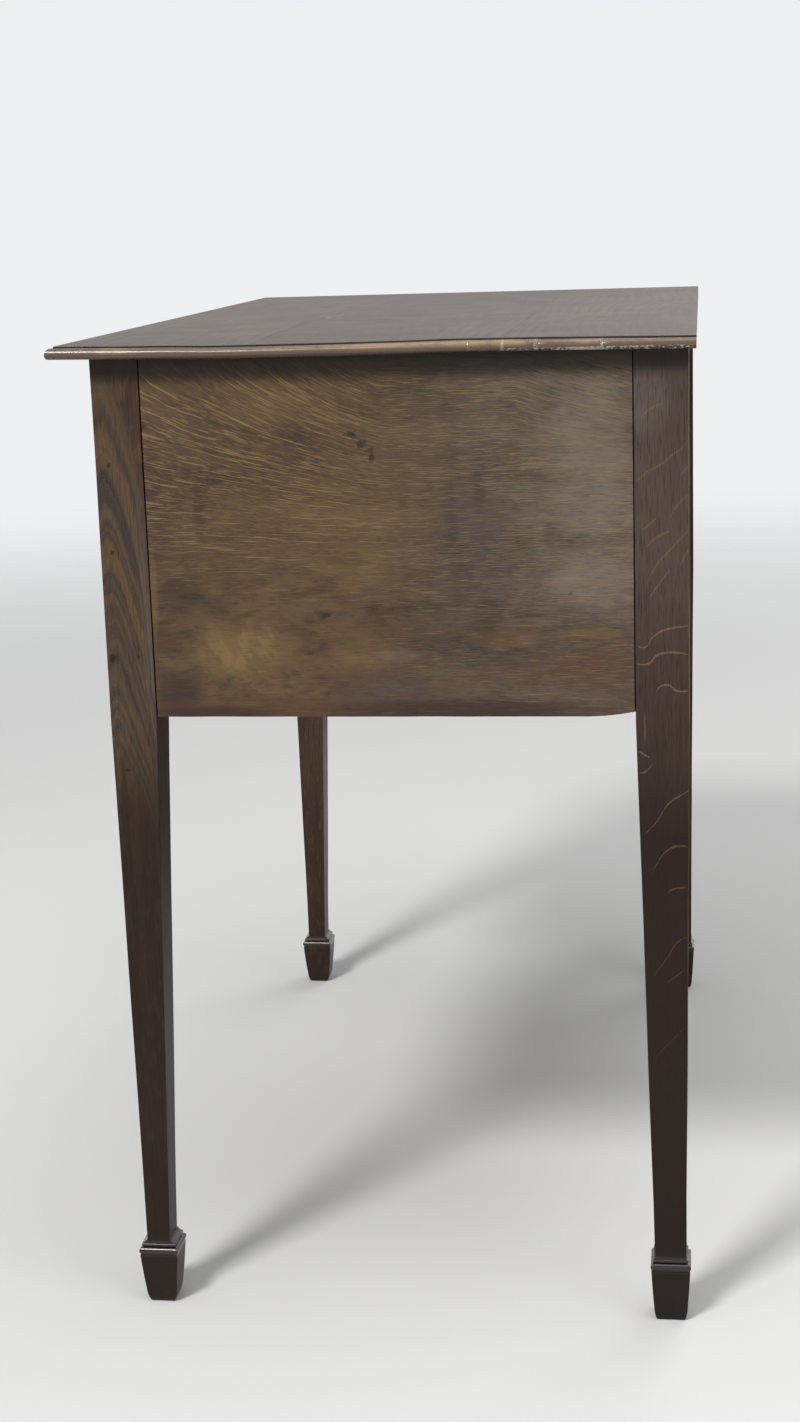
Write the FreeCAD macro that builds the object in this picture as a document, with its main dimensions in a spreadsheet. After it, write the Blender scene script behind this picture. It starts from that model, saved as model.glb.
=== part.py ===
"""An oak lowboy with one long drawer over two short ones, as a parametric document of separate pieces."""
import FreeCAD, Part
import math
import operator
import os
import types

# Driving dimensions in mm. X runs along the front, -Y is the front, Z = 0 is the floor.
SIZES = {
    # overall
    "overall_height": 720.0,
    "frame_length": 744.0,      # over the outer faces of the legs, end to end
    "frame_depth": 410.0,       # over the outer faces of the legs, front to back
    "case_height": 254.0,       # underside of the top to the bottom edge of the case
    # top
    "top_thickness": 9.0,
    "front_overhang": 27.0,
    "back_overhang": 5.0,
    "end_overhang": 16.0,
    "front_board_width": 141.5,
    "back_board_width": 128.0,
    "step_height": 1.3,         # the flat of the top stands this far above the nose
    "nose_reach": 5.5,          # the nose stands this far out from the flat
    "nose_upper_round": 4.2,
    "nose_lower_round": 2.6,
    # legs
    "leg_thick": 37.0,          # along X
    "front_leg_width": 34.0,    # along Y
    "back_leg_width": 37.0,
    "taper_drop": 5.0,          # the taper starts this far below the case
    "neck_thick": 24.0,         # at the top of the foot, along X
    "front_neck_width": 17.5,
    "back_neck_width": 23.0,
    "outer_taper": 3.0,         # how far the outer faces lean in
    # spade feet
    "foot_height": 51.5,
    "front_foot_width": 30.0,
    "back_foot_width": 29.6,
    "shoulder_height": 3.0,
    "collar_height": 1.8,
    "collar_inset": 2.0,
    "quirk_height": 1.0,
    "quirk_inset": 1.3,
    "bead_height": 5.8,
    "round_relief": 0.05,       # a full round stops this far short of its middle
    "body_inset": 0.7,
    "toe_height": 9.0,
    "front_toe_inset": 3.5,
    "back_toe_inset": 2.6,
    "front_sole_inset": 5.8,
    "back_sole_inset": 4.2,
    # end panels and back board
    "panel_thick": 16.0,
    "panel_setback": 0.6,
    "panel_shrink_gap": 0.5,
    "back_thick": 12.0,
    "back_setback": 4.0,
    "tongue_thick": 7.0,
    "tongue_reach": 11.0,
    "haunch": 9.0,              # a tongue or tenon stops this far from a visible edge
    "joint_gap": 0.12,
    # rails and partitions
    "top_rail_height": 13.0,
    "mid_rail_height": 16.0,
    "bottom_rail_height": 18.0,
    "tenon_reach": 12.0,
    "tenon_cheek": 2.0,         # the tenon is thinner than its rail by this on each face
    "tenon_shoulder": 6.0,
    "stub_reach": 6.0,
    "muntin_width": 20.0,
    "partition_thick": 12.0,
    "long_opening_height": 90.0,
    "short_opening_width": 205.0,
    # apron
    "apron_thick": 20.0,
    "apron_setback": 1.0,
    "arch_foot": 22.0,          # width left at each side of the arch
    "arch_spring": 10.0,        # upright part of the arch
    "arch_crown": 37.0,         # height left above the arch
    # runners
    "runner_cover": 25.0,       # how far a runner reaches under the drawer side
    "guide_height": 22.0,
    "stop_height": 5.0,
    "stop_length": 38.0,
    "stop_width": 11.0,
    "stop_gap": 0.3,
    "long_stop_offset": 190.0,
    "block_size": 14.0,
    "block_length": 46.0,
    "block_spread": 150.0,      # distance between the centres of the glue blocks
    # drawers
    "drawer_front_thick": 18.0,
    "drawer_side_thick": 8.0,
    "drawer_back_thick": 8.0,
    "drawer_bottom_thick": 6.0,
    "drawer_side_gap": 0.8,
    "drawer_head_gap": 1.2,
    "drawer_rest_gap": 0.3,
    "drawer_back_gap": 12.0,    # room behind a closed drawer
    "side_drop": 3.0,           # sides stop this far below the front's top edge
    "groove_height": 6.0,       # lower edge of the drawer bottom above the side's lower edge
    "groove_depth": 4.0,
    "groove_gap": 0.1,
    "lap_reach": 12.0,          # length of the tails in the drawer front
    "tail_wide": 22.0,
    "tail_narrow": 17.0,
    "tail_margin": 5.0,         # from the edge of the side to the first tail
    "bead_width": 3.0,
    "bead_proud": 1.5,
    "bead_round": 1.3,
    # handles
    "handle_centres": 76.0,
    "handle_rise": 7.0,         # the posts stand above the middle of the drawer front
    "long_handle_offset": 205.0,
    "plate_diameter": 27.0,
    "plate_thick": 1.8,
    "plate_round": 1.1,
    "stem_diameter": 5.0,
    "hole_gap": 0.15,
    "post_neck_diameter": 7.0,
    "post_ball_diameter": 11.0,
    "post_reach": 11.5,         # drawer face to the axis of the bail
    "nut_diameter": 12.0,
    "nut_thick": 3.5,
    "stem_stand": 2.0,          # the stem ends this far past its nut
    "bail_wire": 4.6,
    "bail_pin_diameter": 3.0,
    "bail_pin_reach": 4.0,
    "bail_pin_gap": 0.06,
    "bail_cheek_gap": 0.5,
    "bail_shoulder_radius": 5.5,
    "bail_shoulder_turn": 130.0,    # degrees; the arms of the bail lean in below the posts
    "bail_waist_radius": 11.0,
    "bail_waist_turn": 65.0,        # degrees; then they flare out again
    "bail_corner_radius": 5.0,
    # screws
    "screw_shank": 3.6,
    "screw_head": 7.2,
    "screw_head_height": 2.6,
    "screw_bite": 6.0,
    "screw_gap": 0.1,
    "screw_spread": 250.0,
}

OPERATIONS = {"+": operator.add, "-": operator.sub, "*": operator.mul, "/": operator.truediv}
SAME_PLACE = 0.01
LONG_TAIL_COUNT = 3         # dovetails at each corner of the long drawer
SHORT_TAIL_COUNT = 4        # and of the short drawers
LEFT, RIGHT = -1, 1
FRONT, BACK = "front", "back"

doc = FreeCAD.newDocument("lowboy")
sheet = doc.addObject("Spreadsheet::Sheet", "sizes")


class Term:
    """A size, both as an expression on the sheet and as its value in mm."""

    def __init__(self, text, value):
        self.text = text
        self.value = value

    def __add__(self, other):
        return combine(self, "+", other)

    def __sub__(self, other):
        return combine(self, "-", other)

    def __mul__(self, other):
        return combine(self, "*", other)

    def __truediv__(self, other):
        return combine(self, "/", other)

    def __neg__(self):
        return combine(0, "-", self)


def as_term(value):
    return value if isinstance(value, Term) else Term(repr(value), value)


def combine(left, sign, right):
    left = as_term(left)
    right = as_term(right)
    value = OPERATIONS[sign](left.value, right.value)
    return Term(f"({left.text} {sign} {right.text})", value)


def sine(angle):
    """The sine of an angle in degrees."""
    return Term(f"sin({angle.text})", math.sin(math.radians(angle.value)))


def cosine(angle):
    """The cosine of an angle in degrees."""
    return Term(f"cos({angle.text})", math.cos(math.radians(angle.value)))


def fill_sheet():
    for row, (alias, value) in enumerate(SIZES.items(), start=1):
        sheet.set(f"A{row}", alias)
        sheet.set(f"B{row}", str(value))
        sheet.setAlias(f"B{row}", alias)
    doc.recompute()


fill_sheet()
size = types.SimpleNamespace(**{alias: Term(f"sizes.{alias}", value) for alias, value in SIZES.items()})

# Places that several pieces share.
half_depth = (size.frame_depth + size.front_overhang + size.back_overhang) / 2
face_y = size.front_overhang - half_depth           # outer face of the front legs
rear_y = half_depth - size.back_overhang            # outer face of the back legs
front_joint_y = size.front_board_width - half_depth
back_joint_y = half_depth - size.back_board_width
outer_x = size.frame_length / 2                     # outer face of the legs at one end
inner_x = outer_x - size.leg_thick
under_z = size.overall_height - size.top_thickness  # underside of the top
case_z = under_z - size.case_height
rail_back_y = face_y + size.front_leg_width         # the rails are as deep as the front legs
back_leg_y = rear_y - size.back_leg_width           # inner face of the back legs
back_in_y = rear_y - size.back_setback - size.back_thick
panel_in_x = outer_x - size.panel_setback - size.panel_thick
long_top_z = under_z - size.top_rail_height
long_low_z = long_top_z - size.long_opening_height
short_top_z = long_low_z - size.mid_rail_height
short_low_z = case_z + size.bottom_rail_height
muntin_out_x = inner_x - size.short_opening_width
muntin_in_x = muntin_out_x - size.muntin_width
partition_out_x = muntin_in_x + size.partition_thick

nodes = []


def keep(shape, label):
    """Names a finished piece; its label is also its file name."""
    shape.Label = label
    nodes.append(shape)
    return shape


def bind(item, name, value):
    item.setExpression(name, as_term(value).text)


def place(item, x, y, z):
    for axis, value in zip("xyz", (x, y, z)):
        bind(item, f".Placement.Base.{axis}", value)


def turn(item, axis, angle):
    item.Placement = FreeCAD.Placement(FreeCAD.Vector(), FreeCAD.Rotation(FreeCAD.Vector(*axis), angle))


def box(x, y, z, name="block"):
    """A block from its low and high limits along each axis."""
    item = doc.addObject("Part::Box", name)
    for side, (low, high) in zip(("Length", "Width", "Height"), (x, y, z)):
        bind(item, side, as_term(high) - low)
    place(item, x[0], y[0], z[0])
    return item


def cylinder(x, y, z, radius, length, axis, name="rod"):
    """A round bar that starts at x, y, z and runs along the named axis."""
    item = doc.addObject("Part::Cylinder", name)
    bind(item, "Radius", radius)
    bind(item, "Height", length)
    if axis == "x":
        turn(item, (0, 1, 0), 90)
    if axis == "y":
        turn(item, (1, 0, 0), -90)
    place(item, x, y, z)
    return item


def wedge(x_low, z_low, x_high, z_high, y, name="wedge"):
    """A block whose section changes evenly from one XZ rectangle to another along Y."""
    item = doc.addObject("Part::Wedge", name)
    limits = {"Xmin": x_low[0], "Xmax": x_low[1], "Zmin": z_low[0], "Zmax": z_low[1],
              "X2min": x_high[0], "X2max": x_high[1], "Z2min": z_high[0], "Z2max": z_high[1],
              "Ymin": y[0], "Ymax": y[1]}
    for limit, value in limits.items():
        bind(item, limit, value)
    return item


def frustum(low, high, z, name="taper"):
    """A block that tapers upwards between two XY rectangles, each given as its x and y limits."""
    flipped = [tuple(-value for value in reversed(rectangle[1])) for rectangle in (low, high)]
    item = wedge(low[0], flipped[0], high[0], flipped[1], z, name)
    turn(item, (1, 0, 0), 90)
    return item


def fuse(pieces, name="joined"):
    item = doc.addObject("Part::MultiFuse", name)
    item.Shapes = pieces
    item.Refine = True
    return item


def cut(base, tools, name="cut"):
    """The base without the tools, which may lie apart or overlap."""
    item = doc.addObject("Part::Cut", name)
    item.Base = base
    item.Tool = tools[0] if len(tools) == 1 else fuse(tools, "waste")
    item.Refine = True
    return item


def overlap(base, tool, name="share"):
    item = doc.addObject("Part::Common", name)
    item.Base = base
    item.Tool = tool
    item.Refine = True
    return item


def group(pieces, name="set"):
    item = doc.addObject("Part::Compound", name)
    item.Links = pieces
    return item


def rounded(base, radius, wanted, name="rounded"):
    """Rounds the edges for which wanted(first end, last end) is true."""
    doc.recompute()
    picked = []
    for number, edge in enumerate(base.Shape.Edges, start=1):
        first, last = edge.Vertexes[0].Point, edge.Vertexes[-1].Point
        if wanted(first, last):
            picked.append((number, radius.value, radius.value))
    item = doc.addObject("Part::Fillet", name)
    item.Base = base
    item.Edges = picked
    return item


def near(value, term):
    return abs(value - as_term(term).value) < SAME_PLACE


def level_in_y(level):
    """A test for edges that lie in one plane across Y."""
    return lambda first, last: near(first.y, level) and near(last.y, level)


def side_span(side, low, high):
    """Limits along X, mirrored for the left side."""
    return (low, high) if side == RIGHT else (-as_term(high), -as_term(low))


def side_name(side):
    return "right" if side == RIGHT else "left"


def leg_span_x(side, low, high):
    """Limits along X, counted inwards from a leg's outer face."""
    return side_span(side, outer_x - high, outer_x - low)


def leg_span_y(row, low, high):
    """Limits along Y, counted inwards from a leg's outer face."""
    return (face_y + low, face_y + high) if row == FRONT else (rear_y - high, rear_y - low)


# ---- top -------------------------------------------------------------------------------------

def top_slab():
    """The whole top before it is divided: a flat with a step down to a rounded nose on three edges."""
    end_x = outer_x + size.end_overhang
    flat_x = end_x - size.nose_reach
    flat_y = size.nose_reach - half_depth
    nose_z = size.overall_height - size.step_height
    nose = box((-end_x, end_x), (-half_depth, half_depth), (under_z, nose_z), "nose_block")

    def on_edge_of(level):
        def wanted(first, last):
            level_edge = near(first.z, level) and near(last.z, level)
            at_back = near(first.y, half_depth) and near(last.y, half_depth)
            return level_edge and not at_back
        return wanted

    nose = rounded(nose, size.nose_upper_round, on_edge_of(nose_z), "nose_upper")
    nose = rounded(nose, size.nose_lower_round, on_edge_of(under_z), "nose_lower")
    flat_z = (nose_z - size.step_height, size.overall_height)
    flat = box((-flat_x, flat_x), (flat_y, half_depth), flat_z, "flat")
    return fuse([nose, flat], "top_slab")


def rail_screw_places():
    """Where the screws through the top rail enter, with their heads flush under it."""
    rail_y = (face_y + rail_back_y) / 2
    return [(offset, rail_y, long_top_z) for offset in (-size.screw_spread, 0, size.screw_spread)]


def kicker_screw_places():
    """Where the screws through the kickers enter: one into the middle board, one into the back board."""
    kicker_x = inner_x - size.runner_cover / 2
    levels = ((front_joint_y + back_joint_y) / 2, (back_joint_y + back_leg_y) / 2)
    return [(x, y, long_top_z) for x in (-kicker_x, kicker_x) for y in levels]


def screw_shape(x, y, z, gap, name):
    """One countersunk screw, or its hole when a gap is given."""
    length = size.top_rail_height + size.screw_bite
    shank = cylinder(x, y, z, size.screw_shank / 2 + gap, length + gap, "z", name + "_shank")
    head = doc.addObject("Part::Cone", name + "_head")
    bind(head, "Radius1", size.screw_head / 2 + gap)
    bind(head, "Radius2", size.screw_shank / 2 + gap)
    bind(head, "Height", size.screw_head_height)
    place(head, x, y, z)
    return fuse([shank, head], name)


def screw_holes(places):
    return [screw_shape(*where, size.screw_gap, "screw_hole") for where in places]


def make_top():
    places = rail_screw_places() + kicker_screw_places()
    slab = cut(top_slab(), screw_holes(places), "drilled_top")
    end_x = outer_x + size.end_overhang
    strips = {"top_board_front": (-half_depth, front_joint_y),
              "top_board_middle": (front_joint_y, back_joint_y),
              "top_board_back": (back_joint_y, half_depth)}
    for label, limits in strips.items():
        strip = box((-end_x, end_x), limits, (under_z, size.overall_height), label + "_strip")
        keep(overlap(slab, strip), label)
    keep(group([screw_shape(*where, 0, "screw") for where in places]), "top_screws")


# ---- legs ------------------------------------------------------------------------------------

def leg_widths(row):
    """Widths along Y of the leg, of its neck and of its foot."""
    if row == FRONT:
        return size.front_leg_width, size.front_neck_width, size.front_foot_width
    return size.back_leg_width, size.back_neck_width, size.back_foot_width


def foot_insets(row):
    """How far the toe and the sole stand in from the widest part of the foot."""
    if row == FRONT:
        return size.front_toe_inset, size.front_sole_inset
    return size.back_toe_inset, size.back_sole_inset


def spade_foot(side, row):
    """The stack of a spade foot, each layer a rectangle about the middle of the neck."""
    neck_width, foot_width = leg_widths(row)[1:]
    toe_inset, sole_inset = foot_insets(row)
    middle_x = size.outer_taper + size.neck_thick / 2
    middle_y = size.outer_taper + neck_width / 2

    def rectangle(half_x, half_y):
        return (leg_span_x(side, middle_x - half_x, middle_x + half_x),
                leg_span_y(row, middle_y - half_y, middle_y + half_y))

    def foot_rectangle(inset):
        half = foot_width / 2 - inset
        return rectangle(half, half)

    neck = rectangle(size.neck_thick / 2, neck_width / 2)
    collar = foot_rectangle(size.collar_inset)
    quirk = foot_rectangle(size.collar_inset + size.quirk_inset)
    shoulder_z = size.foot_height - size.shoulder_height
    collar_z = shoulder_z - size.collar_height
    quirk_z = collar_z - size.quirk_height
    bead_z = quirk_z - size.bead_height
    bead = box(*foot_rectangle(0), (bead_z, quirk_z), "bead_block")
    bead_radius = size.bead_height / 2 - size.round_relief
    bead = rounded(bead, bead_radius, lambda first, last: near(first.z, last.z), "bead")
    return [frustum(collar, neck, (shoulder_z, size.foot_height), "shoulder"),
            box(*collar, (collar_z, shoulder_z), "collar"),
            box(*quirk, (quirk_z, collar_z), "quirk"),
            bead,
            frustum(foot_rectangle(toe_inset), foot_rectangle(size.body_inset),
                    (size.toe_height, bead_z), "foot_body"),
            frustum(foot_rectangle(sole_inset), foot_rectangle(toe_inset), (0, size.toe_height), "toe")]


def tongue_x(side, extra):
    """Limits along X of an end panel's tongue, in the middle of the panel."""
    middle = outer_x - size.panel_setback - size.panel_thick / 2
    half = size.tongue_thick / 2 + extra
    return side_span(side, middle - half, middle + half)


def back_tongue_y(extra):
    middle = rear_y - size.back_setback - size.back_thick / 2
    half = size.tongue_thick / 2 + extra
    return (middle - half, middle + half)


def tenon_y(extra):
    return (face_y + size.tenon_shoulder - extra, rail_back_y - size.tenon_shoulder + extra)


def rail_levels():
    """Low and high limits of the tenon of each rail that enters a front leg."""
    cheek = size.tenon_cheek
    return {"top_rail": (long_top_z, under_z),
            "mid_rail": (short_top_z + cheek, long_low_z - cheek),
            "bottom_rail": (case_z + cheek, short_low_z - cheek)}


def leg_mortises(side, row):
    """Sockets for the end panel, and for the rails or the back board."""
    gap = size.joint_gap
    width = leg_widths(row)[0]
    upright = (case_z + size.haunch - gap, under_z)
    panel = box(tongue_x(side, gap), leg_span_y(row, width - size.tongue_reach - gap, width), upright,
                "panel_mortise")
    if row == BACK:
        reach = side_span(side, inner_x, inner_x + size.tongue_reach + gap)
        return [panel, box(reach, back_tongue_y(gap), upright, "back_mortise")]
    reach = side_span(side, inner_x, inner_x + size.tenon_reach + gap)
    rails = []
    for name, (low, high) in rail_levels().items():
        over = 0 if name == "top_rail" else gap
        rails.append(box(reach, tenon_y(gap), (low - gap, high + over), name + "_mortise"))
    return [panel] + rails


def make_leg(side, row):
    width, neck_width = leg_widths(row)[:2]
    taper_z = case_z - size.taper_drop
    section = (leg_span_x(side, 0, size.leg_thick), leg_span_y(row, 0, width))
    neck = (leg_span_x(side, size.outer_taper, size.outer_taper + size.neck_thick),
            leg_span_y(row, size.outer_taper, size.outer_taper + neck_width))
    stock = box(*section, (taper_z, under_z), "leg_block")
    shaft = frustum(neck, section, (size.foot_height, taper_z), "leg_taper")
    whole = fuse([stock, shaft] + spade_foot(side, row), "leg_whole")
    keep(cut(whole, leg_mortises(side, row)), f"leg_{row}_{side_name(side)}")


# ---- carcase ---------------------------------------------------------------------------------

def make_end_panel(side):
    """A solid end with a tongue into each leg, a hair narrower than its opening."""
    shrink = size.panel_shrink_gap
    x = side_span(side, panel_in_x, outer_x - size.panel_setback)
    body = box(x, (rail_back_y + shrink, back_leg_y - shrink), (case_z, under_z), "panel_board")
    tongue = box(tongue_x(side, 0), (rail_back_y - size.tongue_reach, back_leg_y + size.tongue_reach),
                 (case_z + size.haunch, under_z), "panel_tongue")
    keep(fuse([body, tongue]), f"end_panel_{side_name(side)}")


def make_back():
    y = (back_in_y, rear_y - size.back_setback)
    body = box((-inner_x, inner_x), y, (case_z, under_z), "back_body")
    reach = inner_x + size.tongue_reach
    tongue = box((-reach, reach), back_tongue_y(0), (case_z + size.haunch, under_z), "back_tongue")
    keep(fuse([body, tongue]), "back_board")


def make_through_rail(label, low, high):
    """A rail from leg to leg with a tenon at each end."""
    body = box((-inner_x, inner_x), (face_y, rail_back_y), (low, high), label + "_body")
    reach = inner_x + size.tenon_reach
    tenon = box((-reach, reach), tenon_y(0), rail_levels()[label], label + "_tenon")
    return fuse([body, tenon], label + "_whole")


def stub_span_x(side, extra):
    """Limits along X of the stub tenon on top of a muntin."""
    inset = size.tenon_shoulder / 2
    return side_span(side, muntin_in_x + inset - extra, muntin_out_x - inset + extra)


def make_rails():
    top_rail = make_through_rail("top_rail", long_top_z, under_z)
    keep(cut(top_rail, screw_holes(rail_screw_places())), "top_rail")
    gap = size.joint_gap
    stub_z = (short_top_z, short_top_z + size.stub_reach + gap)
    stubs = [box(stub_span_x(side, gap), tenon_y(gap), stub_z, "stub_mortise") for side in (LEFT, RIGHT)]
    keep(cut(make_through_rail("mid_rail", short_top_z, long_low_z), stubs), "mid_rail")


def make_bottom_rail(side):
    low, high = rail_levels()["bottom_rail"]
    body_x = side_span(side, muntin_out_x, inner_x)
    body = box(body_x, (face_y, rail_back_y), (case_z, short_low_z), "low_rail_body")
    tenon_x = side_span(side, muntin_out_x - size.stub_reach, inner_x + size.tenon_reach)
    tenon = box(tenon_x, tenon_y(0), (low, high), "low_rail_tenon")
    keep(fuse([body, tenon]), f"bottom_rail_{side_name(side)}")


def make_muntin(side):
    gap = size.joint_gap
    low, high = rail_levels()["bottom_rail"]
    body_x = side_span(side, muntin_in_x, muntin_out_x)
    body = box(body_x, (face_y, rail_back_y), (case_z, short_top_z), "muntin_body")
    stub = box(stub_span_x(side, 0), tenon_y(0), (short_top_z, short_top_z + size.stub_reach), "stub")
    mortise = box(side_span(side, muntin_out_x - size.stub_reach - gap, muntin_out_x), tenon_y(gap),
                  (low - gap, high + gap), "low_rail_mortise")
    keep(cut(fuse([body, stub]), [mortise]), f"muntin_{side_name(side)}")


def make_apron():
    """The board between the muntins, with an arch cut up into it."""
    front = face_y + size.apron_setback
    y = (front, front + size.apron_thick)
    body = box((-muntin_in_x, muntin_in_x), y, (case_z, short_top_z), "apron_board")
    half_arch = muntin_in_x - size.arch_foot
    spring_z = case_z + size.arch_spring
    crown_z = short_top_z - size.arch_crown
    # The head is the arc through the crown and both springing points.
    rise = crown_z - spring_z
    radius = (half_arch * half_arch / rise + rise) / 2
    head = cylinder(0, front, crown_z - radius, radius, size.apron_thick, "y", "arch_disc")
    width = (-half_arch, half_arch)
    head = overlap(head, box(width, y, (spring_z, crown_z), "arch_bounds"), "arch_head")
    keep(cut(body, [box(width, y, (case_z, spring_z), "arch_upright"), head]), "apron")


def make_partition(side):
    y = (rail_back_y, back_in_y)
    board = box(side_span(side, muntin_in_x, partition_out_x), y, (case_z, short_top_z), "partition_board")
    keep(board, f"partition_{side_name(side)}")
    bearer_x = side_span(side, muntin_in_x, muntin_out_x + size.runner_cover)
    bearer = box(bearer_x, y, (short_top_z, long_low_z), "bearer_strip")
    keep(bearer, f"bearer_{side_name(side)}")


def rebated_runner(side, cover, guide, y, low, high, label):
    """A runner with its guide in one piece, from limits along X for the cover and for the guide."""
    flat = box(side_span(side, *cover), y, (low, high), label + "_flat")
    fence = box(side_span(side, *guide), y, (high, high + size.guide_height), label + "_fence")
    keep(fuse([flat, fence]), f"{label}_{side_name(side)}")


def make_runners(side):
    outer_cover = (inner_x - size.runner_cover, panel_in_x)
    outer_guide = (inner_x, panel_in_x)
    outer_y = (rail_back_y, back_leg_y)
    inner_y = (rail_back_y, back_in_y)
    rebated_runner(side, outer_cover, outer_guide, outer_y, short_top_z, long_low_z, "long_runner")
    rebated_runner(side, outer_cover, outer_guide, outer_y, case_z, short_low_z, "short_runner_outer")
    inner_cover = (partition_out_x, muntin_out_x + size.runner_cover)
    inner_guide = (partition_out_x, muntin_out_x)
    rebated_runner(side, inner_cover, inner_guide, inner_y, case_z, short_low_z, "short_runner_inner")


def make_kickers():
    """Strips under the ends of the top that keep an open long drawer level."""
    for side in (LEFT, RIGHT):
        strip = box(side_span(side, inner_x - size.runner_cover, panel_in_x), (rail_back_y, back_leg_y),
                    (long_top_z, under_z), "kicker_strip")
        keep(cut(strip, screw_holes(kicker_screw_places())), f"kicker_{side_name(side)}")


def make_glue_blocks():
    """Square blocks in the corner under the top, along the back board."""
    blocks = []
    y = (back_in_y - size.block_size, back_in_y)
    z = (under_z - size.block_size, under_z)
    for number in (-1, 0, 1):
        middle = size.block_spread * number
        x = (middle - size.block_length / 2, middle + size.block_length / 2)
        blocks.append(box(x, y, z, "glue_block"))
    keep(group(blocks), "glue_blocks")


def make_drawer_stops():
    """Small blocks on the rails, just behind the closed drawer fronts and below the drawer bottoms."""
    stop_y = face_y + size.drawer_front_thick + size.stop_gap
    y = (stop_y, stop_y + size.stop_width)
    short_middle = (muntin_out_x + inner_x) / 2
    places = [(offset, long_low_z) for offset in (-size.long_stop_offset, size.long_stop_offset)]
    places += [(short_middle * side, short_low_z) for side in (LEFT, RIGHT)]
    stops = [box((x - size.stop_length / 2, x + size.stop_length / 2), y, (z, z + size.stop_height), "stop")
             for x, z in places]
    keep(group(stops), "drawer_stops")


# ---- drawers ---------------------------------------------------------------------------------

class Drawer:
    """The limits of one drawer's opening, and the places that its pieces share."""

    def __init__(self, name, x, z, tails, handles):
        self.name = name
        self.tails = tails
        self.handles = handles
        self.x = (x[0] + size.drawer_side_gap, x[1] - size.drawer_side_gap)
        self.low = z[0] + size.drawer_rest_gap
        self.high = z[1] - size.drawer_head_gap
        self.front_in = face_y + size.drawer_front_thick
        self.back_out = back_in_y - size.drawer_back_gap
        self.back_in = self.back_out - size.drawer_back_thick
        self.side_top = self.high - size.side_drop
        self.groove_low = self.low + size.groove_height
        self.groove_high = self.groove_low + size.drawer_bottom_thick

    def side_x(self, side):
        """Limits along X of the left or right side board."""
        if side == LEFT:
            return (self.x[0], self.x[0] + size.drawer_side_thick)
        return (self.x[1] - size.drawer_side_thick, self.x[1])

    def tail_centres(self, low):
        """Evenly spaced heights of the tails between a lower limit and the top of the sides."""
        first = low + size.tail_margin + size.tail_wide / 2
        last = self.side_top - size.tail_margin - size.tail_wide / 2
        return [first + (last - first) * number / (self.tails - 1) for number in range(self.tails)]


def tail(x, root, tip, centre, gap, name):
    """One dovetail from its narrow root to its wide tip along Y."""
    narrow = (centre - size.tail_narrow / 2 - gap, centre + size.tail_narrow / 2 + gap)
    wide = (centre - size.tail_wide / 2 - gap, centre + size.tail_wide / 2 + gap)
    if tip.value < root.value:
        return wedge(x, wide, x, narrow, (tip - gap, root), name)
    return wedge(x, narrow, x, wide, (root, tip + gap), name)


def front_tails(drawer, side, gap):
    tip = drawer.front_in - size.lap_reach
    centres = drawer.tail_centres(drawer.groove_high)
    return [tail(drawer.side_x(side), drawer.front_in, tip, centre, gap, "lap_tail") for centre in centres]


def back_tails(drawer, side, gap):
    centres = drawer.tail_centres(drawer.groove_high)
    return [tail(drawer.side_x(side), drawer.back_in, drawer.back_out, centre, gap, "back_tail")
            for centre in centres]


def groove(drawer, x, y):
    gap = size.groove_gap
    return box(x, y, (drawer.groove_low - gap, drawer.groove_high + gap), "groove")


def make_drawer_side(drawer, side):
    x = drawer.side_x(side)
    board = box(x, (drawer.front_in, drawer.back_in), (drawer.low, drawer.side_top), "side_board")
    heel = box(x, (drawer.back_in, drawer.back_out), (drawer.low, drawer.groove_high), "side_heel")
    whole = fuse([board, heel] + front_tails(drawer, side, 0) + back_tails(drawer, side, 0))
    depth = size.groove_depth + size.groove_gap
    inner = (x[1] - depth, x[1]) if side == LEFT else (x[0], x[0] + depth)
    slot = groove(drawer, inner, (drawer.front_in, drawer.back_out))
    keep(cut(whole, [slot]), f"{drawer.name}_side_{side_name(side)}")


def raised_bead(drawer):
    """The narrow half-round border worked round the face of a drawer front."""
    back = (face_y - size.bead_proud, face_y + size.bead_proud)
    width = size.bead_width
    outer = box(drawer.x, back, (drawer.low, drawer.high), "bead_outer")
    front_level = face_y - size.bead_proud
    outer = rounded(outer, size.bead_round, level_in_y(front_level))
    inner_x_span = (drawer.x[0] + width, drawer.x[1] - width)
    inner_z_span = (drawer.low + width, drawer.high - width)
    inner = box(inner_x_span, back, inner_z_span, "bead_inner")
    return cut(outer, [inner], "raised_bead")


def make_drawer_front(drawer):
    board = box(drawer.x, (face_y, drawer.front_in), (drawer.low, drawer.high), "front_board")
    whole = fuse([board, raised_bead(drawer)], "beaded_front")
    gap = size.joint_gap
    sockets = front_tails(drawer, LEFT, gap) + front_tails(drawer, RIGHT, gap)
    inner = (drawer.side_x(LEFT)[1] - size.groove_depth, drawer.side_x(RIGHT)[0] + size.groove_depth)
    slot = groove(drawer, inner, (drawer.front_in - size.groove_depth - size.groove_gap, drawer.front_in))
    level = handle_level(drawer)
    holes = [bored(x, face_y, level, size.drawer_front_thick, "stem_hole") for x in post_places(drawer)]
    keep(cut(whole, sockets + [slot] + holes), f"{drawer.name}_front")


def make_drawer_back(drawer):
    z = (drawer.groove_high + size.groove_gap, drawer.side_top)
    board = box(drawer.x, (drawer.back_in, drawer.back_out), z, "back_piece")
    gap = size.joint_gap
    keep(cut(board, back_tails(drawer, LEFT, gap) + back_tails(drawer, RIGHT, gap)), f"{drawer.name}_back")


def make_drawer_bottom(drawer):
    x = (drawer.side_x(LEFT)[1] - size.groove_depth, drawer.side_x(RIGHT)[0] + size.groove_depth)
    y = (drawer.front_in - size.groove_depth, drawer.back_out)
    keep(box(x, y, (drawer.groove_low, drawer.groove_high)), f"{drawer.name}_bottom")


# ---- handles ---------------------------------------------------------------------------------

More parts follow.
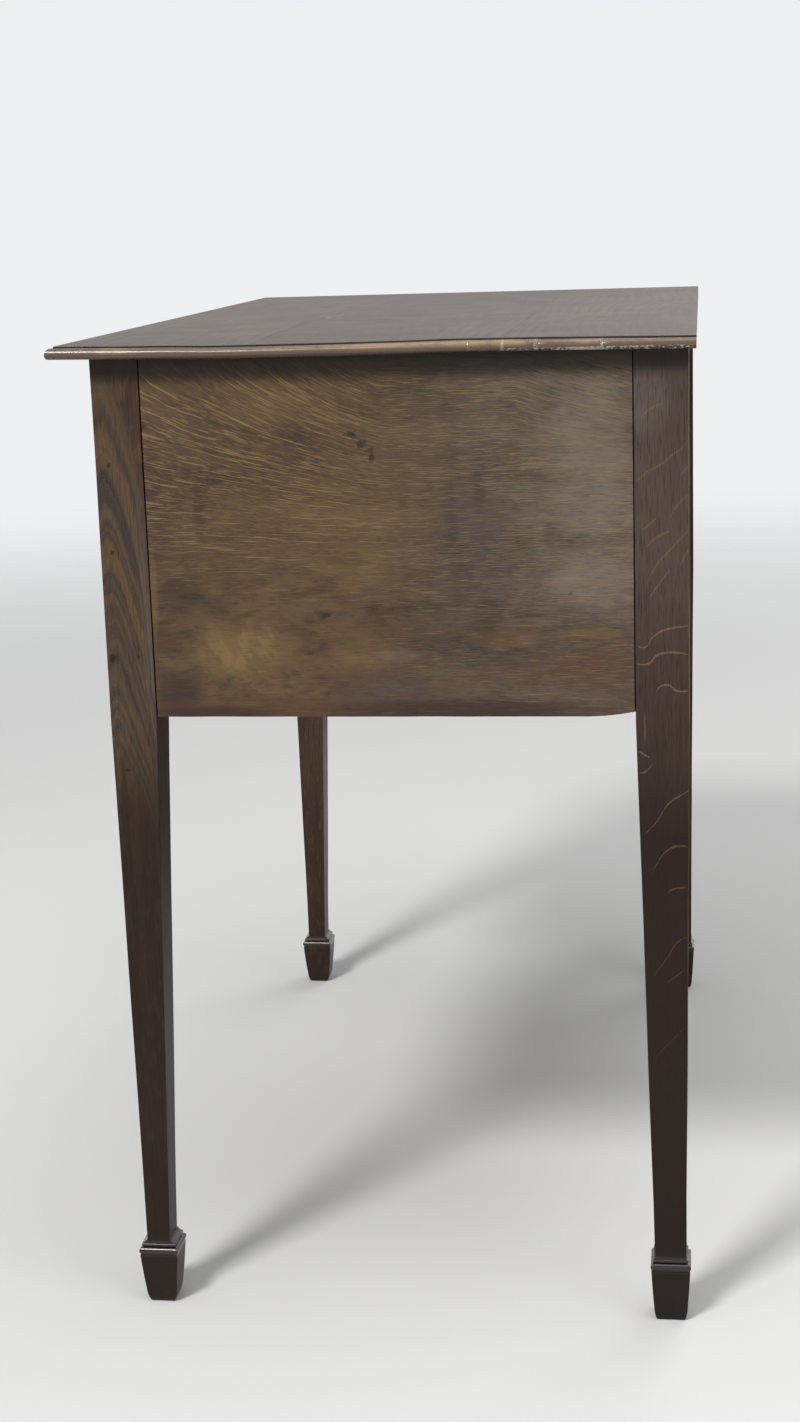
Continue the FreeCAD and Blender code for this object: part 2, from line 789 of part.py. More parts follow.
def handle_level(drawer):
    return (drawer.low + drawer.high) / 2 + size.handle_rise


def post_places(drawer):
    return [middle + size.handle_centres * share for middle in drawer.handles for share in (-0.5, 0.5)]


def axis_y():
    return face_y - size.post_reach


def bored(x, y, level, depth, name):
    """The hole that a post's stem passes through."""
    return cylinder(x, y, level, size.stem_diameter / 2 + size.hole_gap, depth, "y", name)


def post(x, level):
    """A turned brass post: a stem through the front, a neck and a ball with a hole for the bail's pin."""
    stem_end = face_y + size.drawer_front_thick + size.nut_thick + size.stem_stand
    face = face_y - size.plate_thick
    stem = cylinder(x, face, level, size.stem_diameter / 2, stem_end - face, "y", "stem")
    neck = cylinder(x, axis_y(), level, size.post_neck_diameter / 2, face - axis_y(), "y", "neck")
    ball = doc.addObject("Part::Sphere", "ball")
    bind(ball, "Radius", size.post_ball_diameter / 2)
    place(ball, x, axis_y(), level)
    reach = size.post_ball_diameter / 2
    eye = cylinder(x - reach, axis_y(), level, size.bail_pin_diameter / 2 + size.bail_pin_gap,
                   size.post_ball_diameter, "x", "eye")
    return cut(fuse([stem, neck, ball]), [eye], "post")


def plate(x, level):
    """A thin round plate with a softened rim, bored for the stem."""
    rim_level = face_y - size.plate_thick
    disc = cylinder(x, rim_level, level, size.plate_diameter / 2, size.plate_thick, "y", "disc")
    disc = rounded(disc, size.plate_round, level_in_y(rim_level))
    return cut(disc, [bored(x, rim_level, level, size.plate_thick, "plate_hole")], "plate")


def nut(x, level):
    face = face_y + size.drawer_front_thick
    body = doc.addObject("Part::Prism", "nut_body")
    body.Polygon = 6
    bind(body, "Circumradius", size.nut_diameter / 2)
    bind(body, "Height", size.nut_thick)
    turn(body, (1, 0, 0), -90)
    place(body, x, face, level)
    return cut(body, [bored(x, face, level, size.nut_thick, "nut_hole")], "nut")


def bend(x, z, radius, start, sweep, side, name):
    """A bend of the bail's wire about a centre; the start angle is counted from the outward X direction."""
    item = doc.addObject("Part::Torus", name)
    bind(item, "Radius1", radius)
    bind(item, "Radius2", size.bail_wire / 2)
    bind(item, "Angle3", sweep)
    if side == LEFT:
        start = combine(180, "-", start) - sweep
    upright = FreeCAD.Rotation(FreeCAD.Vector(1, 0, 0), 90)
    about_axis = FreeCAD.Rotation(FreeCAD.Vector(0, 0, 1), as_term(start).value)
    item.Placement = FreeCAD.Placement(FreeCAD.Vector(), upright.multiply(about_axis))
    place(item, x, axis_y(), z)
    return item


def bail(middle, level):
    """A swan-neck bail hanging straight down. Below its pin each end turns in, flares and meets the bar."""
    shoulder, waist, corner = size.bail_shoulder_radius, size.bail_waist_radius, size.bail_corner_radius
    turned = size.bail_shoulder_turn
    flared = turned - size.bail_waist_turn
    pin_root = size.handle_centres / 2 + size.post_ball_diameter / 2 + size.bail_cheek_gap
    # The centre of each bend lies on the line through the one before and the point where they meet.
    shoulder_at = (pin_root, -shoulder)
    reach = shoulder + waist
    waist_at = (shoulder_at[0] + reach * sine(turned), shoulder_at[1] + reach * cosine(turned))
    reach = waist + corner
    corner_at = (waist_at[0] - reach * sine(flared), waist_at[1] - reach * cosine(flared))
    bar_z = level + corner_at[1] - corner
    pin_radius = size.bail_pin_diameter / 2
    pieces = []
    for side in (LEFT, RIGHT):
        pin = side_span(side, pin_root - size.bail_cheek_gap - size.bail_pin_reach, pin_root)
        pieces.append(cylinder(middle + pin[0], axis_y(), level, pin_radius, pin[1] - pin[0], "x", "pin"))
        bends = {"shoulder": (shoulder_at, shoulder, combine(90, "-", turned), turned),
                 "waist": (waist_at, waist, combine(270, "-", turned), size.bail_waist_turn),
                 "corner": (corner_at, corner, -90, combine(180, "-", flared))}
        for name, (centre, radius, start, sweep) in bends.items():
            x = middle + centre[0] * side
            pieces.append(bend(x, level + centre[1], radius, start, sweep, side, "bail_" + name))
    half_bar = corner_at[0]
    pieces.append(cylinder(middle - half_bar, axis_y(), bar_z, size.bail_wire / 2, half_bar * 2, "x", "bar"))
    return fuse(pieces, "bail_whole")


def make_handles(drawer):
    level = handle_level(drawer)
    keep(group([plate(x, level) for x in post_places(drawer)]), f"{drawer.name}_plates")
    keep(group([post(x, level) for x in post_places(drawer)]), f"{drawer.name}_posts")
    keep(group([nut(x, level) for x in post_places(drawer)]), f"{drawer.name}_nuts")
    for number, middle in enumerate(drawer.handles):
        suffix = "" if len(drawer.handles) == 1 else ("_left", "_right")[number]
        keep(bail(middle, level), f"{drawer.name}_bail{suffix}")


def make_drawer(drawer):
    make_drawer_front(drawer)
    for side in (LEFT, RIGHT):
        make_drawer_side(drawer, side)
    make_drawer_back(drawer)
    make_drawer_bottom(drawer)
    make_handles(drawer)


def make_drawers():
    offset = size.long_handle_offset
    long_x = (-inner_x, inner_x)
    make_drawer(Drawer("long_drawer", long_x, (long_low_z, long_top_z), LONG_TAIL_COUNT, (-offset, offset)))
    short_middle = (muntin_out_x + inner_x) / 2
    for side in (LEFT, RIGHT):
        x = side_span(side, muntin_out_x, inner_x)
        handles = (short_middle * side,)
        name = f"{side_name(side)}_drawer"
        make_drawer(Drawer(name, x, (short_low_z, short_top_z), SHORT_TAIL_COUNT, handles))


# ---- whole -----------------------------------------------------------------------------------

def make_carcase():
    for side in (LEFT, RIGHT):
        for row in (FRONT, BACK):
            make_leg(side, row)
        make_end_panel(side)
        make_bottom_rail(side)
        make_muntin(side)
        make_partition(side)
        make_runners(side)
    make_back()
    make_rails()
    make_apron()
    make_kickers()
    make_glue_blocks()
    make_drawer_stops()


def check_document():
    doc.recompute()
    for item in doc.Objects:
        if "Invalid" in item.State or "Error" in item.State:
            raise RuntimeError(f"{item.Label}: {item.State}")
    for node in nodes:
        if node.Shape.isNull() or not node.Shape.isValid() or not node.Shape.Solids:
            raise RuntimeError(f"{node.Label} has no valid solid")


def write_parts():
    os.makedirs("parts", exist_ok=True)
    for node in nodes:
        node.Shape.exportStep(f"parts/{node.Label}.step")
        print(f"{node.Label:28s} solids {len(node.Shape.Solids):2d}  volume {node.Shape.Volume:12.1f} mm3")


make_top()
make_carcase()
make_drawers()
check_document()
write_parts()
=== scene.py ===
import math

import bmesh
import bpy
from mathutils import Matrix, Vector, noise


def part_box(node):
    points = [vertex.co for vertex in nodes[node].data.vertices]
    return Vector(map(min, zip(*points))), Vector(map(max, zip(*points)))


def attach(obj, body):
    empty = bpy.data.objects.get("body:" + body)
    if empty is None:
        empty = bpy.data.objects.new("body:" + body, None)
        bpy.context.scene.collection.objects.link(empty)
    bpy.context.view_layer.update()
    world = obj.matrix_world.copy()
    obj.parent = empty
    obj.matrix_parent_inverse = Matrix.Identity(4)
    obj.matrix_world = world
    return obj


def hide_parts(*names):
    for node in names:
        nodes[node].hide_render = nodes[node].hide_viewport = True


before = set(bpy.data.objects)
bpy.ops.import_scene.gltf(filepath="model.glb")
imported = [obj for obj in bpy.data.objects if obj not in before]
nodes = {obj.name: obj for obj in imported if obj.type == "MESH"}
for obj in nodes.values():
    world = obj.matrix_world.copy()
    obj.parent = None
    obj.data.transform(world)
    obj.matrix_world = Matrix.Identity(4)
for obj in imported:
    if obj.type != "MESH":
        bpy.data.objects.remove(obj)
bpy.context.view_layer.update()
print("frame loaded:", len(nodes), "nodes")


# stage, light and camera

stageLook = {
    "floorColour": (0.74, 0.735, 0.72, 1.0),
    "floorReach": 12.0,
    "floorFade": (1.2, 4.6),      # from the middle of the piece, in metres
    "floorDrop": 0.0004,
    "floorRoughness": 0.9,
    "floorShine": 0.1,
    "backdropColour": (0.86, 0.87, 0.88, 1.0),
    "worldColour": (0.94, 0.97, 1.0, 1.0),
    "worldStrength": 0.31,
}

lampLook = {   # place, what it is aimed at, size in metres, watts
    "key": ((3.0, -1.5, 3.7), (0.1, 0.0, 0.45), 1.0, 145.0),
    "overhead": ((0.6, 0.3, 3.2), (0.2, 0.0, 0.45), 2.2, 32.0),
    "side": ((2.4, 2.8, 2.2), (0.0, 0.0, 0.4), 2.2, 12.0),
    "back": ((-2.4, 1.2, 2.6), (0.0, 0.0, 0.6), 2.4, 26.0),
}

cameraLook = {
    "place": (1.8753, 0.22455, 0.80603),
    "turn": 7.944,       # towards the front of the piece from square on its end, in degrees
    "tilt": 12.79,       # down
    "lean": -1.811,
    "lens": 56.24,
    "sensor": 36.0,
    "clip": (0.05, 200.0),
}


def clearSelection():
    for other in bpy.context.selected_objects:
        other.select_set(False)


def makeCamera(look):
    data = bpy.data.cameras.new("camera")
    data.lens, data.sensor_width, data.sensor_height = look["lens"], look["sensor"], look["sensor"]
    data.clip_start, data.clip_end = look["clip"]
    camera = bpy.data.objects.new("camera", data)
    bpy.context.scene.collection.objects.link(camera)
    place = Matrix.Translation(look["place"])
    for angle, axis in ((90 + look["turn"], "Z"), (90 - look["tilt"], "X"), (look["lean"], "Z")):
        place = place @ Matrix.Rotation(math.radians(angle), 4, axis)
    camera.matrix_world = place
    bpy.context.scene.camera = camera


def makeLamp(name, place, target, size, power):
    data = bpy.data.lights.new(name, "AREA")
    data.shape, data.size, data.energy = "DISK", size, power
    lamp = bpy.data.objects.new(name, data)
    bpy.context.scene.collection.objects.link(lamp)
    lamp.location = place
    lamp.rotation_euler = (Vector(target) - Vector(place)).to_track_quat("-Z", "Y").to_euler()


class Wire:                          # wraps a shader socket, so that plain sums on it add nodes
    def __init__(self, tree, socket=None):
        self.tree = tree
        self.socket = socket

    def node(self, kind, inputs=None, output=0, stops=None, curve=None, **settings):
        made = self.tree.nodes.new(kind)
        for key, value in settings.items():
            setattr(made, key, value)
        if curve:
            line = made.mapping.curves[0].points
            for place in curve[1:-1]:
                line.new(*place)
            line[0].location, line[-1].location = curve[0], curve[-1]
            made.mapping.update()
        if stops:
            ramp = made.color_ramp.elements
            while len(ramp) < len(stops):
                ramp.new(0.5)
            for stop, (place, colour) in zip(ramp, stops):
                stop.position = place
                stop.color = (*colour[:3], 1.0)
        for key, value in (inputs or {}).items():
            if isinstance(value, Wire):
                self.tree.links.new(value.socket, made.inputs[key])
            else:
                made.inputs[key].default_value = value
        return Wire(self.tree, made.outputs[output] if len(made.outputs) else None)

    def sum(self, operation, first, second=0.0):
        return self.node("ShaderNodeMath", {0: first, 1: second}, operation=operation)

    def __add__(self, other):
        return self.sum("ADD", self, other)

    def __sub__(self, other):
        return self.sum("SUBTRACT", self, other)

    def __rsub__(self, other):
        return self.sum("SUBTRACT", other, self)

    def __mul__(self, other):
        return self.sum("MULTIPLY", self, other)

    def __truediv__(self, other):
        return self.sum("DIVIDE", self, other)

    __radd__ = __add__
    __rmul__ = __mul__

    def ease(self, low, high, start=0.0, end=1.0):      # a smooth step between two limits
        limits = {0: self, 1: low, 2: high, 3: start, 4: end}
        return self.node("ShaderNodeMapRange", limits, interpolation_type="SMOOTHSTEP")

    def between(self, start, full, fade, end):          # 1 from full to fade, 0 outside start and end
        return self.ease(start, full) * self.ease(end, fade)

    def least(self, other):
        return self.sum("MINIMUM", self, other)

    def most(self, other):
        return self.sum("MAXIMUM", self, other)

    def size(self):
        return self.sum("ABSOLUTE", self)

    def root(self):
        return self.sum("SQRT", self)

    def tint(self, first, second):                      # this value mixes two colours
        return self.node("ShaderNodeMix", {0: self, 6: first, 7: second}, output=2, data_type="RGBA")


def rgb(red, green, blue):
    return (red, green, blue, 1.0)


def newMaterial(name):               # with the place on the object, along X, Y and Z
    material = bpy.data.materials.new(name)
    material.use_nodes = True
    wire = Wire(material.node_tree)
    wire.tree.nodes.clear()
    place = wire.node("ShaderNodeTexCoord", output="Object")
    split = wire.node("ShaderNodeSeparateXYZ", {0: place}).socket.node
    return material, wire, [Wire(wire.tree, part) for part in split.outputs]


def finishMaterial(wire, values):
    shader = wire.node("ShaderNodeBsdfPrincipled", values)
    wire.node("ShaderNodeOutputMaterial", {"Surface": shader})


def grainNoise(place, detail=2.0, roughness=0.5):
    spot = place[0].node("ShaderNodeCombineXYZ", dict(enumerate(place)))
    return spot.node("ShaderNodeTexNoise", {"Vector": spot, "Scale": 1.0, "Detail": detail,
                                            "Roughness": roughness, "Distortion": 0.0})


def softSpot(first, second, centre, reach):             # 1 in the middle of an oval, 0 outside it
    across = (first - centre[0]) / reach[0]
    along = (second - centre[1]) / reach[1]
    return (across * across + along * along).ease(1.0, 0.0)


def raggedSpot(first, second, centre, reach):           # the same, with an uneven edge
    size = min(reach)
    shift = grainNoise((first / size, second / size, centre[0] * 90.0), 2.0, 0.7) - 0.5
    return softSpot(first + shift * (size * 3.0), second + shift * (size * 2.2), centre, reach)


def makeStage():
    look = stageLook
    material, wire, (x, y, _) = newMaterial("pale floor")
    shown = (x * x + y * y).root().ease(*look["floorFade"], 1.0, 0.0)
    shown = shown * (1 - wire.node("ShaderNodeNewGeometry", output="Backfacing"))       # clear from below
    finishMaterial(wire, {"Base Color": look["floorColour"], "Roughness": look["floorRoughness"],
                          "Specular IOR Level": look["floorShine"], "Alpha": shown})
    clearSelection()
    bpy.ops.mesh.primitive_plane_add(size=look["floorReach"], location=(0, 0, -look["floorDrop"]))
    floor = bpy.context.object
    floor.name = "floor"
    floor.data.materials.append(material)
    world = bpy.data.worlds.new("soft room")
    bpy.context.scene.world = world
    world.use_nodes = True
    world.node_tree.nodes.clear()
    wire = Wire(world.node_tree)
    seen = wire.node("ShaderNodeLightPath", output="Is Camera Ray")
    for kind in ("Is Glossy Ray", "Is Transmission Ray"):
        seen = seen.most(wire.node("ShaderNodeLightPath", output=kind))
    light = wire.node("ShaderNodeBackground", {0: look["worldColour"], 1: look["worldStrength"]})
    backdrop = wire.node("ShaderNodeBackground", {0: look["backdropColour"], 1: 1.0})
    mixed = wire.node("ShaderNodeMixShader", {0: seen, 1: light, 2: backdrop})
    wire.node("ShaderNodeOutputWorld", {"Surface": mixed})


makeCamera(cameraLook)
makeStage()
for lampName, lampFacts in lampLook.items():
    makeLamp(lampName, *lampFacts)
bpy.context.scene.view_settings.view_transform = "Standard"
print("stage, lamps and camera placed")


# oak finishes

grainScales = {    # scale along the grain and across it, detail and roughness
    "sway": (2.2, 7.0, 1.0, 0.5), "ripple": (14.0, 60.0, 2.0, 0.5), "uneven": (0.8, 45.0, 2.0, 0.5),
    "pores": (55.0, 1500.0, 2.0, 0.6), "blotch": (7.0, 13.0, 3.0, 0.55), "patches": (6.0, 24.0, 1.0, 0.5),
}


def oakColour(along, across, through, look):
    # growth rings, pores, rays and slow changes of tone, as every oak surface has them
    def pattern(alongScale, acrossScale, detail, roughness):
        place = (along * alongScale, across * acrossScale, through * acrossScale)
        return grainNoise(place, detail, roughness)

    sway, ripple, uneven, pores, blotch, patches = (pattern(*scales) for scales in grainScales.values())
    streak = pattern(9.0, look["streaks"], 3.0, 0.6)
    ring = across / look["ringWidth"] + through * look["ringTilt"] + sway * look["ringSway"]
    porous = ring.sum("FRACT", ring + ripple * 0.15 + uneven * 3.0).between(0.0, 0.12, 0.2, 0.75)
    pores = pores.ease(0.56, 0.68) * (porous * 0.8 + 0.2)
    tone = blotch.ease(0.32, 0.68) * 0.5 + streak.ease(0.3, 0.7) * 0.5
    colour = tone.tint(look["dark"], look["middle"])
    colour = (porous * look["ringShow"]).tint(colour, look["dark"])
    bar = 0.74 - patches * 0.16
    level = across + (sway - 0.5) * 0.01                  # the rays bend with the rings
    along, level = along * look["fleckAlong"], level * look["fleckAcross"]
    longFleck = grainNoise((along, level, through * look["fleckThrough"]), 0.0).ease(bar, bar + 0.05)
    shortFleck = grainNoise((along * 2.6, level * 1.2, through * 300.0), 0.0).ease(bar, bar + 0.07)
    fleck = longFleck.most(shortFleck * 0.7)
    colour = (fleck * look["fleckShow"]).tint(colour, look["pale"])
    colour = (pores * 0.6).tint(colour, look["deep"])
    height = streak * 0.3 + fleck * 0.15 - pores * 0.6
    gloss = (1 - fleck * 0.2) * (blotch * 0.12 + look["roughness"] - 0.06) + pores * 0.15
    return colour, height, gloss


def finishOak(wire, look, colour, height, gloss, base=None, coat=None):
    inputs = {"Strength": 0.35, "Distance": look["bumpHeight"], "Height": height}
    if base:
        inputs["Normal"] = base
    finishMaterial(wire, {"Base Color": colour, "Roughness": gloss, "Specular IOR Level": look["shine"],
                          "Normal": wire.node("ShaderNodeBump", inputs),
                          "Coat Weight": look["coat"] if coat is None else coat, "Coat Roughness": 0.2})


def alongAxes(place, axes):          # the letters along the grain, across the rings, and the third one
    return [place["xyz".index(letter)] for letter in axes]


def makeOak(name, look, axes, shift=0.0):
    material, wire, place = newMaterial(name)
    along, across, through = alongAxes(place, axes)
    across = across + shift * look["shiftAcross"]
    colour, height, gloss = oakColour(along + shift, across, through, look)
    finishOak(wire, look, colour, height, gloss)
    return material


frontOakLook = {
    "deep": rgb(0.008, 0.005, 0.003), "dark": rgb(0.03, 0.016, 0.009), "middle": rgb(0.082, 0.045, 0.023),
    "pale": rgb(0.2, 0.125, 0.062), "ringWidth": 0.0052, "ringTilt": 40.0, "ringSway": 5.0,
    "ringShow": 0.45, "fleckAlong": 40.0, "fleckAcross": 1500.0, "fleckThrough": 120.0, "fleckShow": 0.42,
    "bumpHeight": 0.0003, "roughness": 0.42, "coat": 0.06, "shine": 0.22, "streaks": 420.0,
    "shiftAcross": 0.37,    # how far a pattern's shift also goes across the grain
}
railOakLook = dict(frontOakLook, dark=rgb(0.026, 0.014, 0.008), middle=rgb(0.062, 0.034, 0.018),
                   ringTilt=15.0, fleckShow=0.35)
backOakLook = dict(railOakLook, ringWidth=0.011, ringTilt=0.0, ringSway=14.0, ringShow=0.55, fleckShow=0.1,
                   roughness=0.5, coat=0.0)
liningOakLook = dict(frontOakLook, deep=rgb(0.07, 0.042, 0.022), dark=rgb(0.19, 0.115, 0.06),
                     middle=rgb(0.33, 0.215, 0.12), pale=rgb(0.44, 0.31, 0.19), ringShow=0.3,
                     roughness=0.72, coat=0.0, fleckShow=0.5)
innerOakLook = dict(frontOakLook, deep=rgb(0.03, 0.018, 0.01), dark=rgb(0.085, 0.052, 0.03),
                    middle=rgb(0.17, 0.11, 0.065), pale=rgb(0.25, 0.175, 0.11), ringShow=0.35,
                    roughness=0.8, coat=0.0, fleckShow=0.3)


# the top: polished on the flat, rubbed pale along the nose, with painted highlight and shade along its edge

topShape = {
    "under": 0.711, "noseTop": 0.7187, "stepHeight": 0.0013, "endX": 0.388, "frontY": -0.221, "backY": 0.221,
    "joints": (-0.0795, 0.093), "noseReach": 0.0055, "quirk": 0.0006,
    # rounded edges: width and number of facets
    "upperRound": (0.0042, 4), "lowerRound": (0.0026, 3), "stepRound": (0.0003, 2), "underRound": (0.0003, 1),
    "ringsAlong": (0.376, 0.366, 0.352, 0.335, 0.315, 0.295, 0.272), "ringSpacing": 0.011,
    # how far the right end has drooped, by place along Y, and where that starts along X
    "droop": [(-0.221, 0.0), (-0.149, 0.001), (-0.1, 0.0019), (-0.027, 0.0018), (0.02, 0.0015),
              (0.06, 0.0009), (0.11, 0.001), (0.16, 0.0014), (0.221, 0.002)],
    "droopFrom": 0.262, "thinned": 0.0004, "thinnedX": 0.36, "thinnedY": (0.02, 0.2), "thinnedAbove": 0.715,
    # chips in the right end: place, half width, depth, and the pale wood's half width and strength
    "chips": [(0.07, 0.0012, 0.0007, 0.0008, 0.3), (0.093, 0.0018, 0.0009, 0.0016, 0.7),
              (0.1152, 0.0026, 0.0011, 0.0022, 0.6), (0.159, 0.0018, 0.001, 0.0016, 0.8)],
    "chipRings": (-1, -0.45, 0.1, 0.5, 1), "chipReach": 0.6,
    "wear": 0.0003, "wearDown": 0.0004, "wearOut": 0.0006,    # depth, and where it starts at the nose
}
topOakLook = dict(
    frontOakLook, dark=rgb(0.024, 0.013, 0.009), bare=rgb(0.3, 0.195, 0.1), rubbed=rgb(0.46, 0.42, 0.37),
    worn=rgb(0.12, 0.078, 0.048), shine=0.19, ringWidth=0.0085, ringTilt=20.0, ringSway=9.0,
    ringShow=0.6, fleckShow=0.12, bumpHeight=0.00012, noseCoat=0.5,
    # in from the edge, and down from the flat
    nose=(0.0066, 0.005), step=(0.0052, 0.0057, 0.0066, 0.0078), stepDrop=(0.0007, 0.0002),
    quirk=(0.0049, 0.0053, 0.0061, 0.0066), quirkDrop=(0.0002, 0.0006), wearDrop=(0.0075, 0.0045),
    arrisDrop=(0.0076, 0.0084), underShadeDrop=(0.0082, 0.0088),
    # along X and Y
    rightEnd=(0.3, 0.36), chipEnd=(0.38, 0.382), bareMiddle=0.045, bareReach=0.075,
    bruisedBack=(0.03, 0.13), bruisedFront=(-0.2, -0.216), backHalf=(0.0, 0.16), jointLine=(0.001, 0.0004),
    scuffs=((0.0883, -0.1535), (0.0622, -0.0774), (-0.21, 0.06)), scuffReach=(0.005, 0.0018),
)


def makeTopOak(name, shift, middleTone):
    look, shape = dict(topOakLook, middle=middleTone), topShape
    material, wire, (x, y, z) = newMaterial(name)
    colour, height, gloss = oakColour(x + shift, y + shift * look["shiftAcross"], z, look)
    inset = (shape["endX"] - x.size()).least(y - shape["frontY"])
    drop = shape["noseTop"] + shape["stepHeight"] - z
    nose = inset.ease(*look["nose"])
    patch = grainNoise((x * 22.0, y * 22.0, 0.0), 3.0, 0.6)
    scratch = grainNoise((x * 150.0, y * 150.0, z * 500.0), 2.0, 0.6)
    speck = grainNoise((x * 480.0, y * 480.0, z * 900.0), 2.0, 0.6)
    atRight = x.ease(*look["rightEnd"])
    colour = (nose * 0.8).tint(colour, look["worn"])
    bareEnd = ((y - look["bareMiddle"]).size() / look["bareReach"]).ease(1.1, 0.7) * atRight
    wear = nose * (patch * 0.7 + scratch * 0.3 + bareEnd * 0.14).ease(0.5, 0.72)
    colour = (wear * drop.ease(*look["wearDrop"]) * 0.65).tint(colour, look["bare"])
    # the lower arris is bruised pale, at the right end mostly along its back half
    bruised = y.ease(*look["bruisedBack"]) * 0.19 + y.ease(*look["bruisedFront"]) * 0.18 - 0.12
    bruised = (speck * 0.55 + patch * 0.45 + atRight * bruised).ease(0.56, 0.64)
    arris = nose * drop.ease(*look["arrisDrop"]) * bruised
    # a painted highlight along the step's arris, brightest on the back half of the right end
    step = inset.between(*look["step"]) * drop.ease(*look["stepDrop"])
    arris = arris.most(step * scratch.ease(0.4, 0.6) * (atRight * y.ease(*look["backHalf"]) * 0.5 + 0.3))
    for place, _, _, reach, amount in shape["chips"]:
        chip = ((y - place).size() / reach + (speck - 0.5) * 2.0).ease(0.9, 0.5) * x.ease(*look["chipEnd"])
        arris = arris.most(chip * nose * speck.ease(0.38, 0.55) * amount)
    # pale rubbed wood on the bruised arris and the chips, with the painted highlight along the step
    colour = (arris * 0.75).tint(colour, look["rubbed"])
    for place in shape["joints"]:                         # wax and dirt in the glued joints
        line = (y - place).size().ease(*look["jointLine"]) * (patch * 0.6 + 0.3) * (1 - nose)
        colour = line.tint(colour, look["deep"])
    for place in look["scuffs"]:
        colour = (raggedSpot(x, y, place, look["scuffReach"]) * 0.5).tint(colour, look["rubbed"])
    # painted shade in the quirk groove
    quirk = inset.between(*look["quirk"]) * drop.ease(*look["quirkDrop"])
    colour = (quirk * 0.85).tint(colour, look["deep"])
    # painted shade along the lower part of the nose
    colour = (nose * drop.ease(*look["underShadeDrop"]) * (1 - arris) * 0.7).tint(colour, look["dark"])
    height = height * nose + patch * 0.6 + scratch * nose
    gloss = (gloss - 0.14) * nose + (patch * 0.1 + look["roughness"] - 0.06) * (1 - nose)
    finishOak(wire, look, colour, height, gloss, coat=nose * look["noseCoat"])
    return material


# the legs: flat-sawn in front, quarter-sawn behind

legOakLook = dict(
    frontOakLook, deep=rgb(0.01, 0.004, 0.002), dark=rgb(0.03, 0.0135, 0.007),
    middle=rgb(0.074, 0.035, 0.0165), golden=rgb(0.122, 0.07, 0.03), slate=rgb(0.028, 0.022, 0.023),
    pale=rgb(0.26, 0.165, 0.082), bloom=rgb(0.135, 0.108, 0.094), peg=rgb(0.06, 0.055, 0.06), fleckShow=0.12,
    ringTilt=10.0, ringShow=0.28, coat=0.08, shine=0.2, streaks=900.0, lowDark=0.74, innerDark=0.7,
    # levels above the floor; the first four place painted shade
    low=(0.47, 0.36), lowest=(0.2, 0.06), underTop=(0.691, 0.702), innerRise=(0.22, 0.42),
    foot=(0.06, 0.05), bead=(0.0382, 0.0402, 0.049, 0.052),
)
backLegOakLook = dict(legOakLook, dark=rgb(0.04, 0.022, 0.015), middle=rgb(0.072, 0.041, 0.027),
                      fleckShow=0.0, ringShow=0.12, streaks=1400.0, lowDark=0.86)
farLegOakLook = dict(legOakLook, lowDark=0.2, middle=rgb(0.092, 0.05, 0.028))

archLook = {
    "axisY": -0.1885, "low": 0.42, "high": 0.705, "rise": 2.6, "round": 0.0042, "curl": 36.0,
    "edge": 12.0, "edgeFrom": 0.022, "warp": 0.006, "ragged": 0.011,
    # how far up the axis each line starts, and how golden it is, 0 to 1
    "lines": [(0.42, 0.45), (0.432, 0.7), (0.437, 0.15), (0.444, 0.75), (0.45, 0.1), (0.457, 0.7),
              (0.463, 0.1), (0.469, 0.7), (0.474, 0.12), (0.487, 0.75), (0.5, 0.1), (0.511, 0.7),
              (0.522, 0.1), (0.529, 0.65), (0.535, 0.1), (0.543, 0.8), (0.551, 0.15), (0.5555, 0.55),
              (0.56, 0.1), (0.568, 0.9), (0.582, 0.95), (0.588, 0.1), (0.592, 0.55), (0.596, 0.1),
              (0.604, 0.95), (0.612, 0.1), (0.632, 0.05), (0.64, 0.8), (0.66, 0.9), (0.672, 0.1),
              (0.684, 0.65), (0.705, 0.45)],
    "knots": [((-0.1898, 0.4996), 0.0032), ((-0.1716, 0.5005), 0.0016), ((-0.1842, 0.6364), 0.0018),
              ((-0.1856, 0.5753), 0.0014), ((-0.1829, 0.4181), 0.0016), ((-0.1856, 0.3831), 0.0018)],
    "knotReach": (1.2, 1.3), "peg": ((-0.1674, 0.6628), 0.0028),
    # a greyer edge beside the panel, and a golden streak on the outer edge lower down: along Y, then up
    "beside": (-0.17, -0.162), "besideRise": (0.44, 0.5), "besideFade": (0.66, 0.56),
    "outer": (-0.172, -0.187), "outerRise": (0.27, 0.36), "outerFade": (0.47, 0.42),
}
